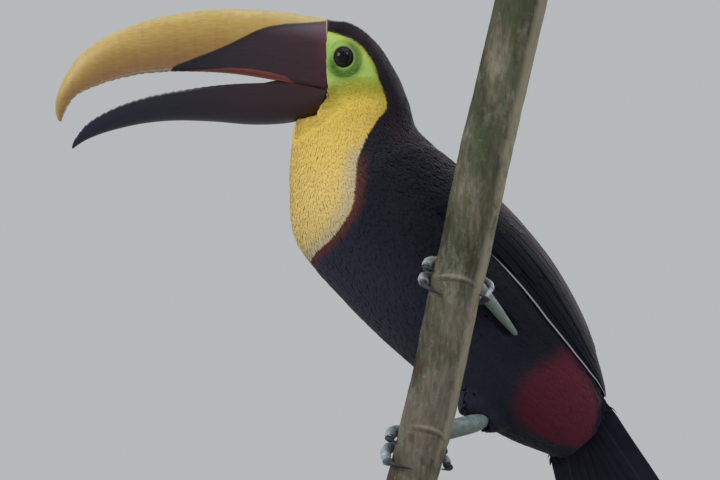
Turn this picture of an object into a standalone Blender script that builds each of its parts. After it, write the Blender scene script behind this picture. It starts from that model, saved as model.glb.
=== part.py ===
"""A yellow-throated toucan, life size, gripping a short cut stem on a round display stand.

Lengths are in millimetres and are scaled to metres where a mesh is made. +Z is up, the origin is the
centre of the stand's underside, and the bill points to -X. Each bird part is a closed solid of its own,
parted from its neighbours by a gap of 0.3 mm.
"""

from math import atan2, cos, degrees, pi, radians, sin, sqrt

import bmesh
import bpy
from mathutils import Matrix, Vector

MM = 0.001
GAP = 0.3
MID_Y = 30.0  # the plane of the head and bill, behind the stand's centre

# Body: rings from the throat to the tail's root. x and z are the ring's centre, tilt is the slope of its
# depth, depth and width are half sizes, and roll turns the belly towards -Y.
THROAT_TO_RUMP = [
    # x, z, tilt, depth, width, roll
    (-38.0, 339.0, 14, 33.0, 22.0, -9),
    (-40.0, 332.5, 11, 41.0, 28.0, -8),
    (-39.0, 315.0, 11, 44.0, 33.0, -3),
    (-37.5, 298.0, 23, 50.0, 40.0, 6),
    (-33.0, 278.0, 41, 60.0, 50.0, 20),
    (-6.5, 249.5, 41, 62.0, 58.0, 34),
    (23.5, 220.0, 41, 63.0, 60.0, 45),
    (52.0, 190.0, 41, 58.0, 58.0, 50),
    (75.0, 162.5, 41, 51.5, 51.5, 53),
    (94.0, 138.5, 41, 41.5, 42.0, 55),
    (110.5, 119.0, 41, 27.0, 29.0, 57),
    (117.0, 106.0, 41, 14.0, 18.0, 57),
]
BACK_OF_HEAD = [
    (-56.1, 363.7, 89, 32.3, 21.5, -9),
    (-48.7, 361.7, 81, 34.7, 23.5, -9),
    (-41.2, 355.8, 74, 35.4, 25.0, -9),
    (-31.6, 348.1, 66, 31.7, 25.5, -9),
    (-23.4, 339.8, 58, 26.2, 24.5, -9),
    (-16.5, 332.1, 46, 20.2, 21.0, -9),
    (-11.4, 325.9, 34, 13.0, 14.0, -9),
]
BODY_VOXEL = 2.5
BODY_TRIANGLES = 1400
HEAD_CUT = ((-40.0, 322.0), (0.25, 1.0))  # a point and the normal, in X and Z, between head and neck
NECK_CUT = ((-38.0, 288.0), (-0.32, 1.0))

# Bill: ribs from base to tip, each a top point, a bottom point and a half width.
UPPER_RIBS = [
    (-56.7, 396.2, -56.6, 349.1, 20.5),
    (-88.7, 401.4, -83.5, 353.6, 19.6),
    (-128.3, 403.3, -120.1, 359.5, 17.6),
    (-168.1, 398.3, -151.0, 361.1, 15.2),
    (-201.3, 387.7, -179.0, 359.9, 12.6),
    (-224.6, 373.3, -202.2, 355.4, 10.0),
    (-235.4, 359.0, -218.4, 349.8, 7.8),
    (-241.3, 346.1, -229.6, 343.9, 5.6),
    (-243.0, 335.8, -236.0, 334.6, 3.6),
    (-241.6, 327.8, -239.2, 326.6, 1.3),
]
LOWER_RIBS = [
    (-56.8, 348.5, -63.1, 330.4, 19.8),
    (-81.8, 352.7, -84.2, 325.9, 18.9),
    (-108.2, 352.7, -108.3, 324.9, 17.0),
    (-133.9, 351.1, -134.4, 326.9, 15.0),
    (-159.8, 347.5, -160.5, 327.6, 12.8),
    (-183.0, 342.7, -183.6, 325.4, 10.6),
    (-205.6, 334.5, -204.8, 320.6, 8.2),
    (-220.9, 325.1, -219.9, 315.2, 5.4),
    (-229.3, 315.0, -228.4, 310.2, 2.4),
    (-231.7, 309.4, -231.3, 307.8, 1.0),
]
HEAD_ROLL, HEAD_AXIS = -9, 364.0  # the head and bill lean about this height, the crown towards -Y
EYE_RADIUS = 9.0
EYE = (-45.1, 370.2, 17.2)  # x, z, and the distance from the mid plane

# Folded wing: it covers a band of the body between two angles, measured round the body from the belly.
WING_OUT, WING_IN, WING_EDGE = 3.0, 5.5, 0.9  # how far it stands out and sinks in, and half its rim
WING_BAND = [
    # place along THROAT_TO_RUMP, lower edge and upper edge in degrees
    (3.75, 93, 112),
    (4.1, 79, 134),
    (5.0, 75, 152),
    (6.0, 76, 163),
    (7.0, 75, 166),
    (8.0, 76, 164),
    (9.0, 83, 156),
    (9.7, 95, 141),
    (10.05, 108, 125),
]

TAIL_ROOT, TAIL_AIM, TAIL_ROLL, TAIL_BOW = (113.5, 122.0), (0.39, -0.921), 62, 4.0
TAIL_SHAPE = [
    # distance from the root, half width, half thickness
    (-18.0, 13.0, 3.6),
    (0.0, 25.5, 4.2),
    (30.0, 33.5, 3.8),
    (60.0, 38.0, 3.0),
    (82.0, 39.0, 2.4),
    (92.0, 33.0, 2.0),
    (97.5, 18.0, 1.4),
]

# Perch: centre line from the cut foot to the cut top, with the radius at each point.
PERCH = [
    (-5.0, -50.0, 66.0, 15.8),
    (-0.6, -51.0, 83.5, 15.6),
    (5.0, -52.5, 103.0, 15.7),
    (7.0, -53.2, 111.0, 16.4),
    (12.2, -54.6, 131.0, 16.2),
    (18.3, -56.8, 158.5, 16.1),
    (25.8, -59.6, 196.8, 16.4),
    (27.6, -60.4, 206.0, 16.7),
    (33.2, -62.0, 226.8, 16.3),
    (46.8, -66.8, 292.0, 16.8),
    (54.5, -69.2, 324.7, 16.3),
    (70.7, -74.4, 394.0, 16.5),
]
STAND_RADIUS, STAND_HEIGHT, STAND_EDGE = 105.0, 20.0, 4.0
ROD_RADIUS, ROD_SHORT = 4.5, 1.5  # the perch's foot is cut square to its lean, so the rod ends lower

# Feet: the ball of the foot lies behind the perch, and the heel in the belly's feathers.
FEET = {
    "left": {"height": 206.5, "ball_rise": 5.5, "ball_angle": 63, "heel": (64.5, -21.0, 179.5), "hip": (72.0, 12.0, 172.0)},
    "right": {"height": 105.5, "ball_rise": 0.0, "ball_angle": 92, "heel": (46.5, 0.0, 118.0), "hip": (68.0, 26.0, 135.0)},
}
BALL_RADIUS = 5.0
# Share of the way, and radius: ball of the foot to heel, and heel to hip.
SHANK_SHAPE = [
    (-0.07, 3.4),
    (0.0, 5.0),
    (0.15, 4.6),
    (0.3, 4.6),
    (0.55, 4.4),
    (0.8, 4.5),
    (0.93, 5.0),
    (1.0, 5.2),
    (1.06, 3.6),
]
THIGH_SHAPE = [(0.0, 5.0), (0.2, 9.0), (0.5, 14.0), (0.8, 15.0), (1.0, 12.0)]
TOES = {
    # start and end angle round the perch, rise at the start, the knuckle and the end, how far the
    # knuckle stands off the bark, radius
    "left": {
        "toe_3": (89, 195, 8.0, 11.0, 5.5, 3.5, 3.2),
        "toe_2": (89, 189, -0.2, 2.5, -2.6, 3.5, 2.9),
        "toe_4": (40, -14, 4.6, 5.6, 1.0, 2.5, 3.1),
        "toe_1": (41, 8, -3.4, -3.6, -6.6, 1.0, 2.8),
    },
    "right": {
        "toe_2": (114, 190, 4.4, 2.0, -3.0, 4.0, 2.9),
        "toe_3": (115, 216, -4.0, -8.0, -16.0, 2.6, 3.2),
        "toe_1": (73, 30, 3.4, 2.0, -0.6, 1.0, 2.8),
        "toe_4": (71, 12, -4.4, -6.5, -9.0, 1.5, 3.1),
    },
}
CLAW_SWEEP, CLAW_RADIUS = 42, 2.2


def clear_scene():
    for obj in list(bpy.data.objects):
        bpy.data.objects.remove(obj, do_unlink=True)


def make_collection(name):
    collection = bpy.data.collections.new(name)
    bpy.context.scene.collection.children.link(collection)
    return collection


def make_material(name, colour, roughness, metallic=0.0):
    material = bpy.data.materials.new(name)
    material.use_nodes = True
    shader = material.node_tree.nodes["Principled BSDF"]
    shader.inputs["Base Color"].default_value = (*colour, 1.0)
    shader.inputs["Roughness"].default_value = roughness
    shader.inputs["Metallic"].default_value = metallic
    return material


def between(rows, place):
    """The row at a fractional place in a table, on a smooth curve through its rows."""
    last = len(rows) - 1
    i = max(0, min(last - 1, int(place)))
    t = place - i
    before, start, end, after = (rows[max(0, min(last, i + k))] for k in (-1, 0, 1, 2))
    return [
        0.5 * (2 * b + (c - a) * t + (2 * a - 5 * b + 4 * c - d) * t**2 + (3 * b - a - 3 * c + d) * t**3)
        for a, b, c, d in zip(before, start, end, after)
    ]


def steps(first, last, count):
    return [first + (last - first) * i / (count - 1) for i in range(count)]


def to_object(name, bm, material, collection):
    mesh = bpy.data.meshes.new(name)
    bm.to_mesh(mesh)
    bm.free()
    mesh.materials.append(material)
    mesh.shade_smooth()
    obj = bpy.data.objects.new(name, mesh)
    collection.objects.link(obj)
    return obj


def loft(name, rings, material, collection):
    """A closed skin through rings of equally many points, in millimetres, with flat ends."""
    bm = bmesh.new()
    loops = [[bm.verts.new(Vector(point) * MM) for point in ring] for ring in rings]
    count = len(loops[0])
    for one, two in zip(loops, loops[1:]):
        for i in range(count):
            k = (i + 1) % count
            bm.faces.new((one[i], one[k], two[k], two[i]))
    bm.faces.new(loops[0][::-1])
    bm.faces.new(loops[-1])
    bmesh.ops.triangulate(bm, faces=bm.faces, quad_method="FIXED")
    bmesh.ops.recalc_face_normals(bm, faces=bm.faces)
    return to_object(name, bm, material, collection)


def axes(tilt, roll):
    """Belly direction and left direction of a ring with this tilt and roll."""
    back = Vector((cos(radians(tilt)), 0, sin(radians(tilt))))
    near = Vector((0, -1, 0))
    belly = -cos(radians(roll)) * back + sin(radians(roll)) * near
    left = sin(radians(roll)) * back + cos(radians(roll)) * near
    return belly, left


def body_point(rows, place, angle, out=0.0, side=1):
    """A point on a body ring: angle goes from the belly (0) over a flank (90) to the back (180)."""
    x, z, tilt, depth, width, roll = between(rows, place)
    belly, left = axes(tilt, roll)
    turn = radians(angle)
    return (
        Vector((x, MID_Y, z))
        + belly * (depth + out) * cos(turn)
        + left * side * (width + out) * sin(turn)
    )


def body_loft(name, rows, ring_count, material, collection):
    rings = [
        [body_point(rows, place, angle) for angle in range(0, 360, 15)]
        for place in steps(0, len(rows) - 1, ring_count)
    ]
    return loft(name, rings, material, collection)


def apply_modifiers(obj):
    graph = bpy.context.evaluated_depsgraph_get()
    mesh = bpy.data.meshes.new_from_object(obj.evaluated_get(graph))
    obj.modifiers.clear()
    obj.data = mesh


def boolean(obj, other):
    """Takes other away from obj, and mends the slivers that the cut leaves."""
    modifier = obj.modifiers.new("cut", "BOOLEAN")
    modifier.operation = "DIFFERENCE"
    modifier.object = other
    apply_modifiers(obj)
    bm = bmesh.new()
    bm.from_mesh(obj.data)
    bmesh.ops.remove_doubles(bm, verts=bm.verts, dist=0.00002)
    bmesh.ops.dissolve_degenerate(bm, edges=bm.edges, dist=0.00001)
    bmesh.ops.triangulate(bm, faces=bm.faces)
    bmesh.ops.delete(bm, geom=[e for e in bm.edges if e.is_wire], context="EDGES")
    bm.to_mesh(obj.data)
    bm.free()


def hide(obj, collection):
    for other in obj.users_collection:
        other.objects.unlink(obj)
    collection.objects.link(obj)
    obj.hide_render = True
    obj.display_type = "WIRE"
    return obj


def keep_side(obj, cut, above):
    """Keeps the part of obj on one side of a plane through (x, z), half a gap short of it."""
    (x, z), (nx, nz) = cut
    normal = Vector((nx, 0, nz)).normalized()
    point = Vector((x, MID_Y, z)) + normal * (GAP / 2 if above else -GAP / 2)
    bm = bmesh.new()
    bm.from_mesh(obj.data)
    bmesh.ops.bisect_plane(
        bm,
        geom=bm.verts[:] + bm.edges[:] + bm.faces[:],
        plane_co=point * MM,
        plane_no=normal,
        clear_inner=above,
        clear_outer=not above,
    )
    bmesh.ops.holes_fill(bm, edges=[e for e in bm.edges if e.is_boundary])
    bmesh.ops.triangulate(bm, faces=[f for f in bm.faces if len(f.verts) > 4])
    bmesh.ops.recalc_face_normals(bm, faces=bm.faces)
    bm.to_mesh(obj.data)
    bm.free()


def copy_of(obj, name, material, collection):
    twin = obj.copy()
    twin.data = obj.data.copy()
    twin.name = name
    twin.data.materials.clear()
    twin.data.materials.append(material)
    collection.objects.link(twin)
    return twin


def whole_body(material, collection):
    """Head, neck and trunk as one blended form."""
    body = body_loft("body", THROAT_TO_RUMP, 34, material, collection)
    head = body_loft("skull", BACK_OF_HEAD, 16, material, collection)
    bm = bmesh.new()
    bm.from_mesh(body.data)
    bm.from_mesh(head.data)
    bm.to_mesh(body.data)
    bm.free()
    bpy.data.objects.remove(head)
    remesh = body.modifiers.new("blend", "REMESH")
    remesh.mode = "VOXEL"
    remesh.voxel_size = BODY_VOXEL * MM
    smooth = body.modifiers.new("soften", "SMOOTH")
    smooth.factor = 0.5
    smooth.iterations = 8
    apply_modifiers(body)
    body.data.calc_loop_triangles()
    thin = body.modifiers.new("thin", "DECIMATE")
    thin.ratio = BODY_TRIANGLES / len(body.data.loop_triangles)
    apply_modifiers(body)
    return body


def head_point(x, z, left=0.0):
    """A point of the head's profile, leant with the head."""
    roll = radians(HEAD_ROLL)
    up = z - HEAD_AXIS
    return Vector((x, MID_Y + up * sin(roll) - left * cos(roll), HEAD_AXIS + up * cos(roll) + left * sin(roll)))


def bill_half(name, ribs, arched, material, collection, grow=0.0):
    """A jaw of the bill: its rings run over the outer side and back across a hollow inner side."""
    rings = []
    for place in steps(0, len(ribs) - 1, 16):
        tx, tz, bx, bz, width = between(ribs, place)
        top, bottom = head_point(tx, tz), head_point(bx, bz)
        height = top - bottom
        rise = height.normalized() if arched else -height.normalized()
        left = head_point(0, HEAD_AXIS, 1) - head_point(0, HEAD_AXIS)
        tomia = (bottom if arched else top) - rise * grow
        tall, wide = height.length + 2 * grow, width + grow
        hollow = 0 if grow else 0.22 * height.length * min(1.0, place / 2)
        ring = []
        for a in steps(0, pi, 13):
            tuck = 1 - 0.04 * cos(a) ** 2
            ring.append(tomia + left * wide * cos(a) * tuck + rise * tall * sin(a) ** 0.92)
        for a in steps(0.35, pi - 0.35, 4):
            ring.append(tomia - left * wide * 0.8 * cos(a) + rise * hollow * sin(a))
        rings.append(ring)
    return loft(name, rings, material, collection)


def ball(name, centre, radius, material, collection):
    bm = bmesh.new()
    bmesh.ops.create_uvsphere(bm, u_segments=16, v_segments=8, radius=radius * MM)
    bmesh.ops.rotate(bm, verts=bm.verts, matrix=Matrix.Rotation(pi / 2, 3, "X"))
    bmesh.ops.translate(bm, verts=bm.verts, vec=Vector(centre) * MM)
    return to_object(name, bm, material, collection)


def eye_centre(side):
    x, z, out = EYE
    return head_point(x, z, side * out)


def wing(name, side, grow, material, collection):
    """A folded wing: a patch of the body's surface, thick in the middle and thin at its edges."""
    rings = []
    for place in steps(0, len(WING_BAND) - 1, 17):
        along, low, high = between(WING_BAND, place)
        along += (0.05 if place > 4 else -0.05) * min(grow, 1) * abs(place - 4) / 4
        middle, half = (low + high) / 2, (high - low) / 2 + grow * 1.2
        outer, inner = [], []
        for u in steps(-1, 1, 7):
            full = sqrt(max(0.0, 1 - abs(u) ** 3))
            high_side = WING_EDGE + (WING_OUT - WING_EDGE) * full + grow
            low_side = WING_EDGE + (WING_IN - WING_EDGE) * full + grow
            outer.append(body_point(THROAT_TO_RUMP, along, middle + half * u, high_side, side))
            inner.append(body_point(THROAT_TO_RUMP, along, middle + half * u, -low_side, side))
        rings.append(outer + inner[::-1])
    return loft(name, rings, material, collection)


def tail(name, grow, material, collection):
    """The tail's fan, bowed a little across its width."""
    aim = Vector((TAIL_AIM[0], 0, TAIL_AIM[1])).normalized()
    belly, left = axes(degrees(atan2(aim.x, -aim.z)), TAIL_ROLL)
    root = Vector((TAIL_ROOT[0], MID_Y, TAIL_ROOT[1]))
    rings = []
    for place in steps(0, len(TAIL_SHAPE) - 1, 13):
        along, width, thick = between(TAIL_SHAPE, place)
        spine = root + aim * (along - grow if place == 0 else along)
        ring = []
        for a in steps(0, 2 * pi * 13 / 14, 14):
            bow = TAIL_BOW * sin(a) ** 2 * along / 100
            ring.append(spine + left * (width + grow) * cos(a) + belly * ((thick + grow) * sin(a) - bow))
        rings.append(ring)
    return loft(name, rings, material, collection)


def tube(name, points, sides, material, collection):
    """A bent tube through (point, radius) pairs, as a mesh with welded caps."""
    curve = bpy.data.curves.new(name, "CURVE")
    curve.dimensions = "3D"
    curve.bevel_depth = MM
    curve.bevel_resolution = (sides - 4) // 2
    curve.use_fill_caps = True
    spline = curve.splines.new("POLY")
    spline.points.add(len(points) - 1)
    for slot, (point, radius) in zip(spline.points, points):
        slot.co = (*(Vector(point) * MM), 1)
        slot.radius = radius
    guide = bpy.data.objects.new(name + "_line", curve)
    collection.objects.link(guide)
    graph = bpy.context.evaluated_depsgraph_get()
    bm = bmesh.new()
    mesh = bpy.data.meshes.new_from_object(guide.evaluated_get(graph))
    bm.from_mesh(mesh)
    bpy.data.meshes.remove(mesh)
    bpy.data.objects.remove(guide)
    bmesh.ops.remove_doubles(bm, verts=bm.verts, dist=0.00001)
    bmesh.ops.recalc_face_normals(bm, faces=bm.faces)
    return to_object(name, bm, material, collection)


def perch_at(height):
    """Centre and radius of the perch at a world height."""
    i = max([0] + [k for k in range(len(PERCH) - 1) if PERCH[k][2] <= height])
    low, high = Vector(PERCH[i]), Vector(PERCH[i + 1])
    row = low.lerp(high, (height - low[2]) / (high[2] - low[2]))
    return row.to_3d(), row[3]


def round_perch(height, angle, out):
    """The point at an angle round the perch, this far off its bark, on the square cross section there."""
    centre, radius = perch_at(height)
    up = (perch_at(height + 18)[0] - perch_at(height - 18)[0]).normalized()
    right = Vector((0, 1, 0)).cross(up).normalized()
    turn = radians(angle)
    return centre + (right * cos(turn) + up.cross(right) * sin(turn)) * (radius + out)


def perch(material, collection):
    return tube("perch", [(row[:3], row[3]) for row in PERCH], 16, material, collection)


def disc(centre, radius, height, segments):
    bm = bmesh.new()
    size = {"radius1": radius * MM, "radius2": radius * MM, "depth": height * MM}
    bmesh.ops.create_cone(bm, cap_ends=True, segments=segments, **size)
    bmesh.ops.translate(bm, verts=bm.verts, vec=Vector(centre) * MM)
    return bm


def stand(wood, steel, collection):
    """A round base, and a rod up to the perch's cut foot."""
    base = disc((0, 0, STAND_HEIGHT / 2), STAND_RADIUS, STAND_HEIGHT, 40)
    rim = [e for e in base.edges if all(v.co.z > STAND_HEIGHT * 0.9 * MM for v in e.verts)]
    bmesh.ops.bevel(base, geom=rim, offset=STAND_EDGE * MM, segments=2, affect="EDGES", profile=0.5)
    to_object("stand_base", base, wood, collection)
    x, y, foot, _ = PERCH[0]
    low, high = STAND_HEIGHT + GAP, foot - GAP - ROD_SHORT
    to_object("stand_rod", disc((x, y, (low + high) / 2), ROD_RADIUS, high - low, 20), steel, collection)


def leg(side, skin, plumage, trunk, collection, cutters):
    """Shank and ball of the foot, and the feathered thigh that it leaves."""
    foot = FEET[side]
    heel, hip = Vector(foot["heel"]), Vector(foot["hip"])
    ball_of_foot = round_perch(foot["height"] + foot["ball_rise"], foot["ball_angle"], BALL_RADIUS + GAP)
    shank = [(ball_of_foot.lerp(heel, t), radius) for t, radius in SHANK_SHAPE]
    knee = heel + (heel - hip).normalized() * 2
    thigh = [(knee.lerp(hip, t), radius) for t, radius in THIGH_SHAPE]
    tube(side + "_shank", shank, 10, skin, collection)
    made = tube(side + "_thigh", thigh, 12, plumage, collection)
    for name, shape, sides, pieces in (("_shank", shank, 10, (made, trunk)), ("_thigh", thigh, 12, (trunk,))):
        room = [(point, radius + GAP) for point, radius in shape]
        room = hide(tube(side + name + "_room", room, sides, skin, cutters), cutters)
        for piece in pieces:
            boolean(piece, room)


def foot(side, skin, horn, collection):
    """Two toes reach forward round the perch and two back, each ending in a hooked claw."""
    height = FEET[side]["height"]
    for toe, (start, end, rise, knuckle, fall, stand_off, radius) in TOES[side].items():
        points = []
        for t in steps(0, 1, 8):
            thick = radius * (1.06 - 0.26 * t)
            level = (1 - t) ** 2 * rise + 2 * t * (1 - t) * (2 * knuckle - (rise + fall) / 2) + t**2 * fall
            off = radius + GAP + 0.3 + stand_off * sin(pi * t) ** 2
            points.append((round_perch(height + level, start + (end - start) * t, off), thick))
        tube(f"{side}_{toe}", points, 8, skin, collection)
        tip = points[-1][0]
        ahead = (tip - points[-2][0]).normalized()
        claw = [(tip + ahead * GAP, CLAW_RADIUS), (tip + ahead * (GAP + 1.0), CLAW_RADIUS)]
        sweep = CLAW_SWEEP if end > start else -CLAW_SWEEP
        for t in steps(0.25, 1, 5):
            lift = radius + GAP + 1.2 + 2.0 * sin(pi * t) - (radius + 0.4) * t**2
            thick = CLAW_RADIUS * (1 - t) ** 0.8 + 0.35
            claw.append((round_perch(height + fall - 3.0 * t, end + sweep * t, lift), thick))
        tube(f"{side}_{toe}_claw", claw, 6, horn, collection)


def main():
    clear_scene()
    parts, cutters = make_collection("toucan"), make_collection("cutters")
    black = make_material("black_plumage", (0.018, 0.017, 0.024), 0.6)
    yellow = make_material("yellow_bib", (0.86, 0.66, 0.16), 0.65)
    face = make_material("green_face", (0.36, 0.62, 0.12), 0.55)
    culmen = make_material("yellow_bill", (0.85, 0.55, 0.09), 0.35)
    maroon = make_material("maroon_bill", (0.11, 0.03, 0.045), 0.35)
    eye = make_material("eye", (0.01, 0.01, 0.012), 0.08)
    leg_skin = make_material("blue_grey_leg", (0.32, 0.4, 0.42), 0.55)
    horn = make_material("claw_horn", (0.1, 0.1, 0.12), 0.4)
    bark = make_material("bark", (0.38, 0.34, 0.26), 0.85)
    wood = make_material("stand_wood", (0.16, 0.09, 0.05), 0.45)
    steel = make_material("stand_steel", (0.6, 0.6, 0.62), 0.3, 1.0)

    body = whole_body(black, parts)
    for name, ribs, arched, horn_colour in (
        ("upper_bill", UPPER_RIBS, True, culmen),
        ("lower_bill", LOWER_RIBS, False, maroon),
    ):
        bill_half(name, ribs, arched, horn_colour, parts)
        x0, z0, x1, z1, width = ribs[0]
        deeper = [(x0 + 1, z0, x1 + 1, z1, width)] + ribs[1:]
        room = bill_half(name + "_room", deeper, arched, horn_colour, cutters, GAP + 0.1)
        boolean(body, hide(room, cutters))
    tail("tail", 0.0, black, parts)
    tail_room = hide(tail("tail_room", GAP, black, cutters), cutters)
    boolean(body, tail_room)
    for side, sign in (("left", 1), ("right", -1)):
        ball(side + "_eye", eye_centre(sign), EYE_RADIUS, eye, parts)
        boolean(wing(side + "_wing", sign, 0.0, black, parts), tail_room)
        socket = ball(side + "_socket", eye_centre(sign), EYE_RADIUS + GAP, eye, cutters)
        wing_room = wing(side + "_wing_room", sign, GAP + 0.05, black, cutters)
        for room in (socket, wing_room):
            boolean(body, hide(room, cutters))

    head = copy_of(body, "head", face, parts)
    neck = copy_of(body, "neck", yellow, parts)
    body.name = "trunk"
    keep_side(head, HEAD_CUT, True)
    keep_side(neck, HEAD_CUT, False)
    keep_side(neck, NECK_CUT, True)
    keep_side(body, NECK_CUT, False)

    for side in FEET:
        leg(side, leg_skin, black, body, parts, cutters)
        foot(side, leg_skin, horn, parts)
    perch(bark, parts)
    stand(wood, steel, parts)


main()
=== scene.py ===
from math import atan2, cos, pi, radians, sin, sqrt

import bmesh
import bpy
import numpy as np
from mathutils import Matrix, Vector
from mathutils.bvhtree import BVHTree
from mathutils.kdtree import KDTree


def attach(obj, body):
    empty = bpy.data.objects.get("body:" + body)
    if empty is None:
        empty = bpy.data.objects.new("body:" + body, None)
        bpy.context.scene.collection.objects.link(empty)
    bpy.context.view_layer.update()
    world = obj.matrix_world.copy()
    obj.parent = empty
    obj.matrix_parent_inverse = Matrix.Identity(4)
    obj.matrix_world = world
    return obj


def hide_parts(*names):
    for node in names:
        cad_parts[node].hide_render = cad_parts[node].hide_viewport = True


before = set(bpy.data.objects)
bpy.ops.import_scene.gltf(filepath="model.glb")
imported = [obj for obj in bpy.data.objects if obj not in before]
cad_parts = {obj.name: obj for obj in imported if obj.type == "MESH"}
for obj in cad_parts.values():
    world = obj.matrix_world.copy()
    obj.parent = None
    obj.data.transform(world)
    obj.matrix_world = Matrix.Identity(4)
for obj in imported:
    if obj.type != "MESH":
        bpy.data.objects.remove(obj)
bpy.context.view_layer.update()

# Lengths below are millimetres, and mm turns them to metres where a mesh is made.
mm = 0.001
midY = 30.0  # the bird's own middle plane
headRoll, headAxis = radians(-9), 364.0  # the head leans about a line at this height
dice = np.random.default_rng(11)
scene = bpy.context.scene


# Shader maths: a Wire is an output socket, and Finish is a material being made.
class Wire:
    def __init__(self, finish, socket):
        self.finish, self.socket = finish, socket

    def __add__(self, other):
        return self.finish.sums("ADD", self, other)

    def __sub__(self, other):
        return self.finish.sums("SUBTRACT", self, other)

    def __rsub__(self, other):
        return self.finish.sums("SUBTRACT", other, self)

    def __mul__(self, other):
        return self.finish.sums("MULTIPLY", self, other)

    def __truediv__(self, other):
        return self.finish.sums("DIVIDE", self, other)

    __radd__ = __add__
    __rmul__ = __mul__


def socketName(label):
    # SpecularIorLevel stands for the socket Specular IOR Level
    return "".join(" " + c if c.isupper() else c for c in label).strip().replace("Ior", "IOR")


class Finish:
    def __init__(self, name, **fixed):
        self.material = bpy.data.materials.new(name)
        self.material.use_nodes = True
        self.tree = self.material.node_tree
        self.shader = self.tree.nodes["Principled BSDF"]
        for label, value in fixed.items():
            self.shader.inputs[socketName(label)].default_value = value

    def node(self, kind, settings, values, output=0):
        made = self.tree.nodes.new("ShaderNode" + kind)
        for label, value in settings.items():
            if label == "stops":
                stops = made.color_ramp.elements
                while len(stops) < len(value):
                    stops.new(1.0)
                for stop, (place, colour) in zip(stops, value):
                    stop.position, stop.color = place, (*colour, 1.0)
            else:
                setattr(made, label, value)
        for key, value in values.items():
            self.plug(made.inputs[key], value)
        return Wire(self, made.outputs[output])

    def plug(self, socket, value):
        if isinstance(value, Wire):
            self.tree.links.new(value.socket, socket)
        elif socket.type == "RGBA":
            socket.default_value = (*value, 1.0)
        else:
            socket.default_value = value

    def sums(self, operation, *parts):
        return self.node("Math", {"operation": operation}, dict(enumerate(parts)))

    def blend(self, factor, first, second, way="MIX"):
        return self.node("Mix", {"data_type": "RGBA", "blend_type": way}, {0: factor, 6: first, 7: second}, 2)

    def step(self, value, low, high):
        return self.node("MapRange", {"interpolation_type": "SMOOTHSTEP"}, {0: value, 1: low, 2: high})

    def ramp(self, value, stops):
        return self.node("ValToRGB", {"stops": stops}, {0: value})

    def mark(self, name, output=2):
        # a mesh attribute as a number, or with output 1 as a vector
        return self.node("Attribute", {"attribute_name": name}, {}, output)

    def at(self, stretch=(1, 1, 1), turn=(0, 0, 0), start=(0, 0, 0)):
        spot = self.node("TexCoord", {}, {}, 3)
        return self.node("Mapping", {}, {"Vector": spot, "Location": start, "Rotation": turn, "Scale": stretch})

    def stretched(self, spot, stretch):
        return self.node("VectorMath", {"operation": "MULTIPLY"}, {0: spot, 1: stretch})

    def grain(self, spot, scale, detail=3.0, rough=0.5, warp=0.0):
        values = {"Vector": spot, "Scale": scale, "Detail": detail, "Roughness": rough, "Distortion": warp}
        return self.node("TexNoise", {}, values)

    def cells(self, spot, scale, feature="F1"):
        return self.node("TexVoronoi", {"feature": feature}, {"Vector": spot, "Scale": scale})

    def part(self, vector, axis):
        return self.node("SeparateXYZ", {}, {0: vector}, "XYZ".index(axis))

    def paint(self, **links):
        for label, value in links.items():
            self.plug(self.shader.inputs[socketName(label)], value)
        return self

    def raised(self, height, distance, strength=1.0):
        values = {"Height": height, "Distance": distance, "Strength": strength}
        self.plug(self.shader.inputs["Normal"], self.node("Bump", {}, values))
        return self


def tone(red, green, blue):
    return tuple(((v / 255 + 0.055) / 1.055) ** 2.4 if v > 10 else v / 255 / 12.92 for v in (red, green, blue))


def between(rows, place):
    # the row at a fractional place in a table, on a smooth curve through its rows
    last = len(rows) - 1
    i = max(0, min(last - 1, int(place)))
    t = place - i
    before, start, end, after = (rows[max(0, min(last, i + k))] for k in (-1, 0, 1, 2))
    return [
        0.5 * (2 * b + (c - a) * t + (2 * a - 5 * b + 4 * c - d) * t**2 + (3 * b - a - 3 * c + d) * t**3)
        for a, b, c, d in zip(before, start, end, after)
    ]


def steps(first, last, count):
    return [first + (last - first) * i / (count - 1) for i in range(count)]


def around(sides):
    # angles once round a ring
    return steps(0, 2 * pi * (1 - 1 / sides), sides)


def bell(value):
    return 2.718 ** (-(value**2))


def smooth(value, low, high):
    t = np.clip((np.asarray(value, float) - low) / (high - low), 0, 1)
    return t * t * (3 - 2 * t)


def unit(rows):
    return rows / np.maximum(np.linalg.norm(rows, axis=-1, keepdims=True), 1e-9)


def toObject(name, bm, finish):
    mesh = bpy.data.meshes.new(name)
    bm.to_mesh(mesh)
    bm.free()
    mesh.shade_smooth()
    mesh.materials.append(finish.material)
    piece = bpy.data.objects.new(name, mesh)
    scene.collection.objects.link(piece)
    return piece


def keep(piece, slotName, *nodes):
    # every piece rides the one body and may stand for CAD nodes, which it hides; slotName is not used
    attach(piece, "root")
    if nodes:
        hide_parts(*nodes)
    return piece


def loft(rings, marks=None):
    # A circle is laid on the first ring and its edges are extruded from ring to ring.
    # marks holds, for each float layer, a row of values for each ring.
    bm = bmesh.new()
    layers = {name: bm.verts.layers.float.new(name) for name in (marks or {})}
    count = len(rings[0])
    now = bmesh.ops.create_circle(bm, segments=count, radius=1.0)["verts"]
    for k, ring in enumerate(rings):
        if k:
            edges = [bm.edges.get((now[i], now[(i + 1) % count])) for i in range(count)]
            grown = bmesh.ops.extrude_edge_only(bm, edges=edges)["geom"]
            old, partner = set(now), {}
            for vert in grown:
                if isinstance(vert, bmesh.types.BMVert):
                    source = next(e.other_vert(vert) for e in vert.link_edges if e.other_vert(vert) in old)
                    partner[source] = vert
            now = [partner[vert] for vert in now]
        for i, vert in enumerate(now):
            vert.co = Vector(ring[i]) * mm
            for name, layer in layers.items():
                vert[layer] = marks[name][k][i]
        if k in (0, len(rings) - 1):
            bm.faces.new(now)
    bmesh.ops.recalc_face_normals(bm, faces=bm.faces)
    return bm


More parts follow.
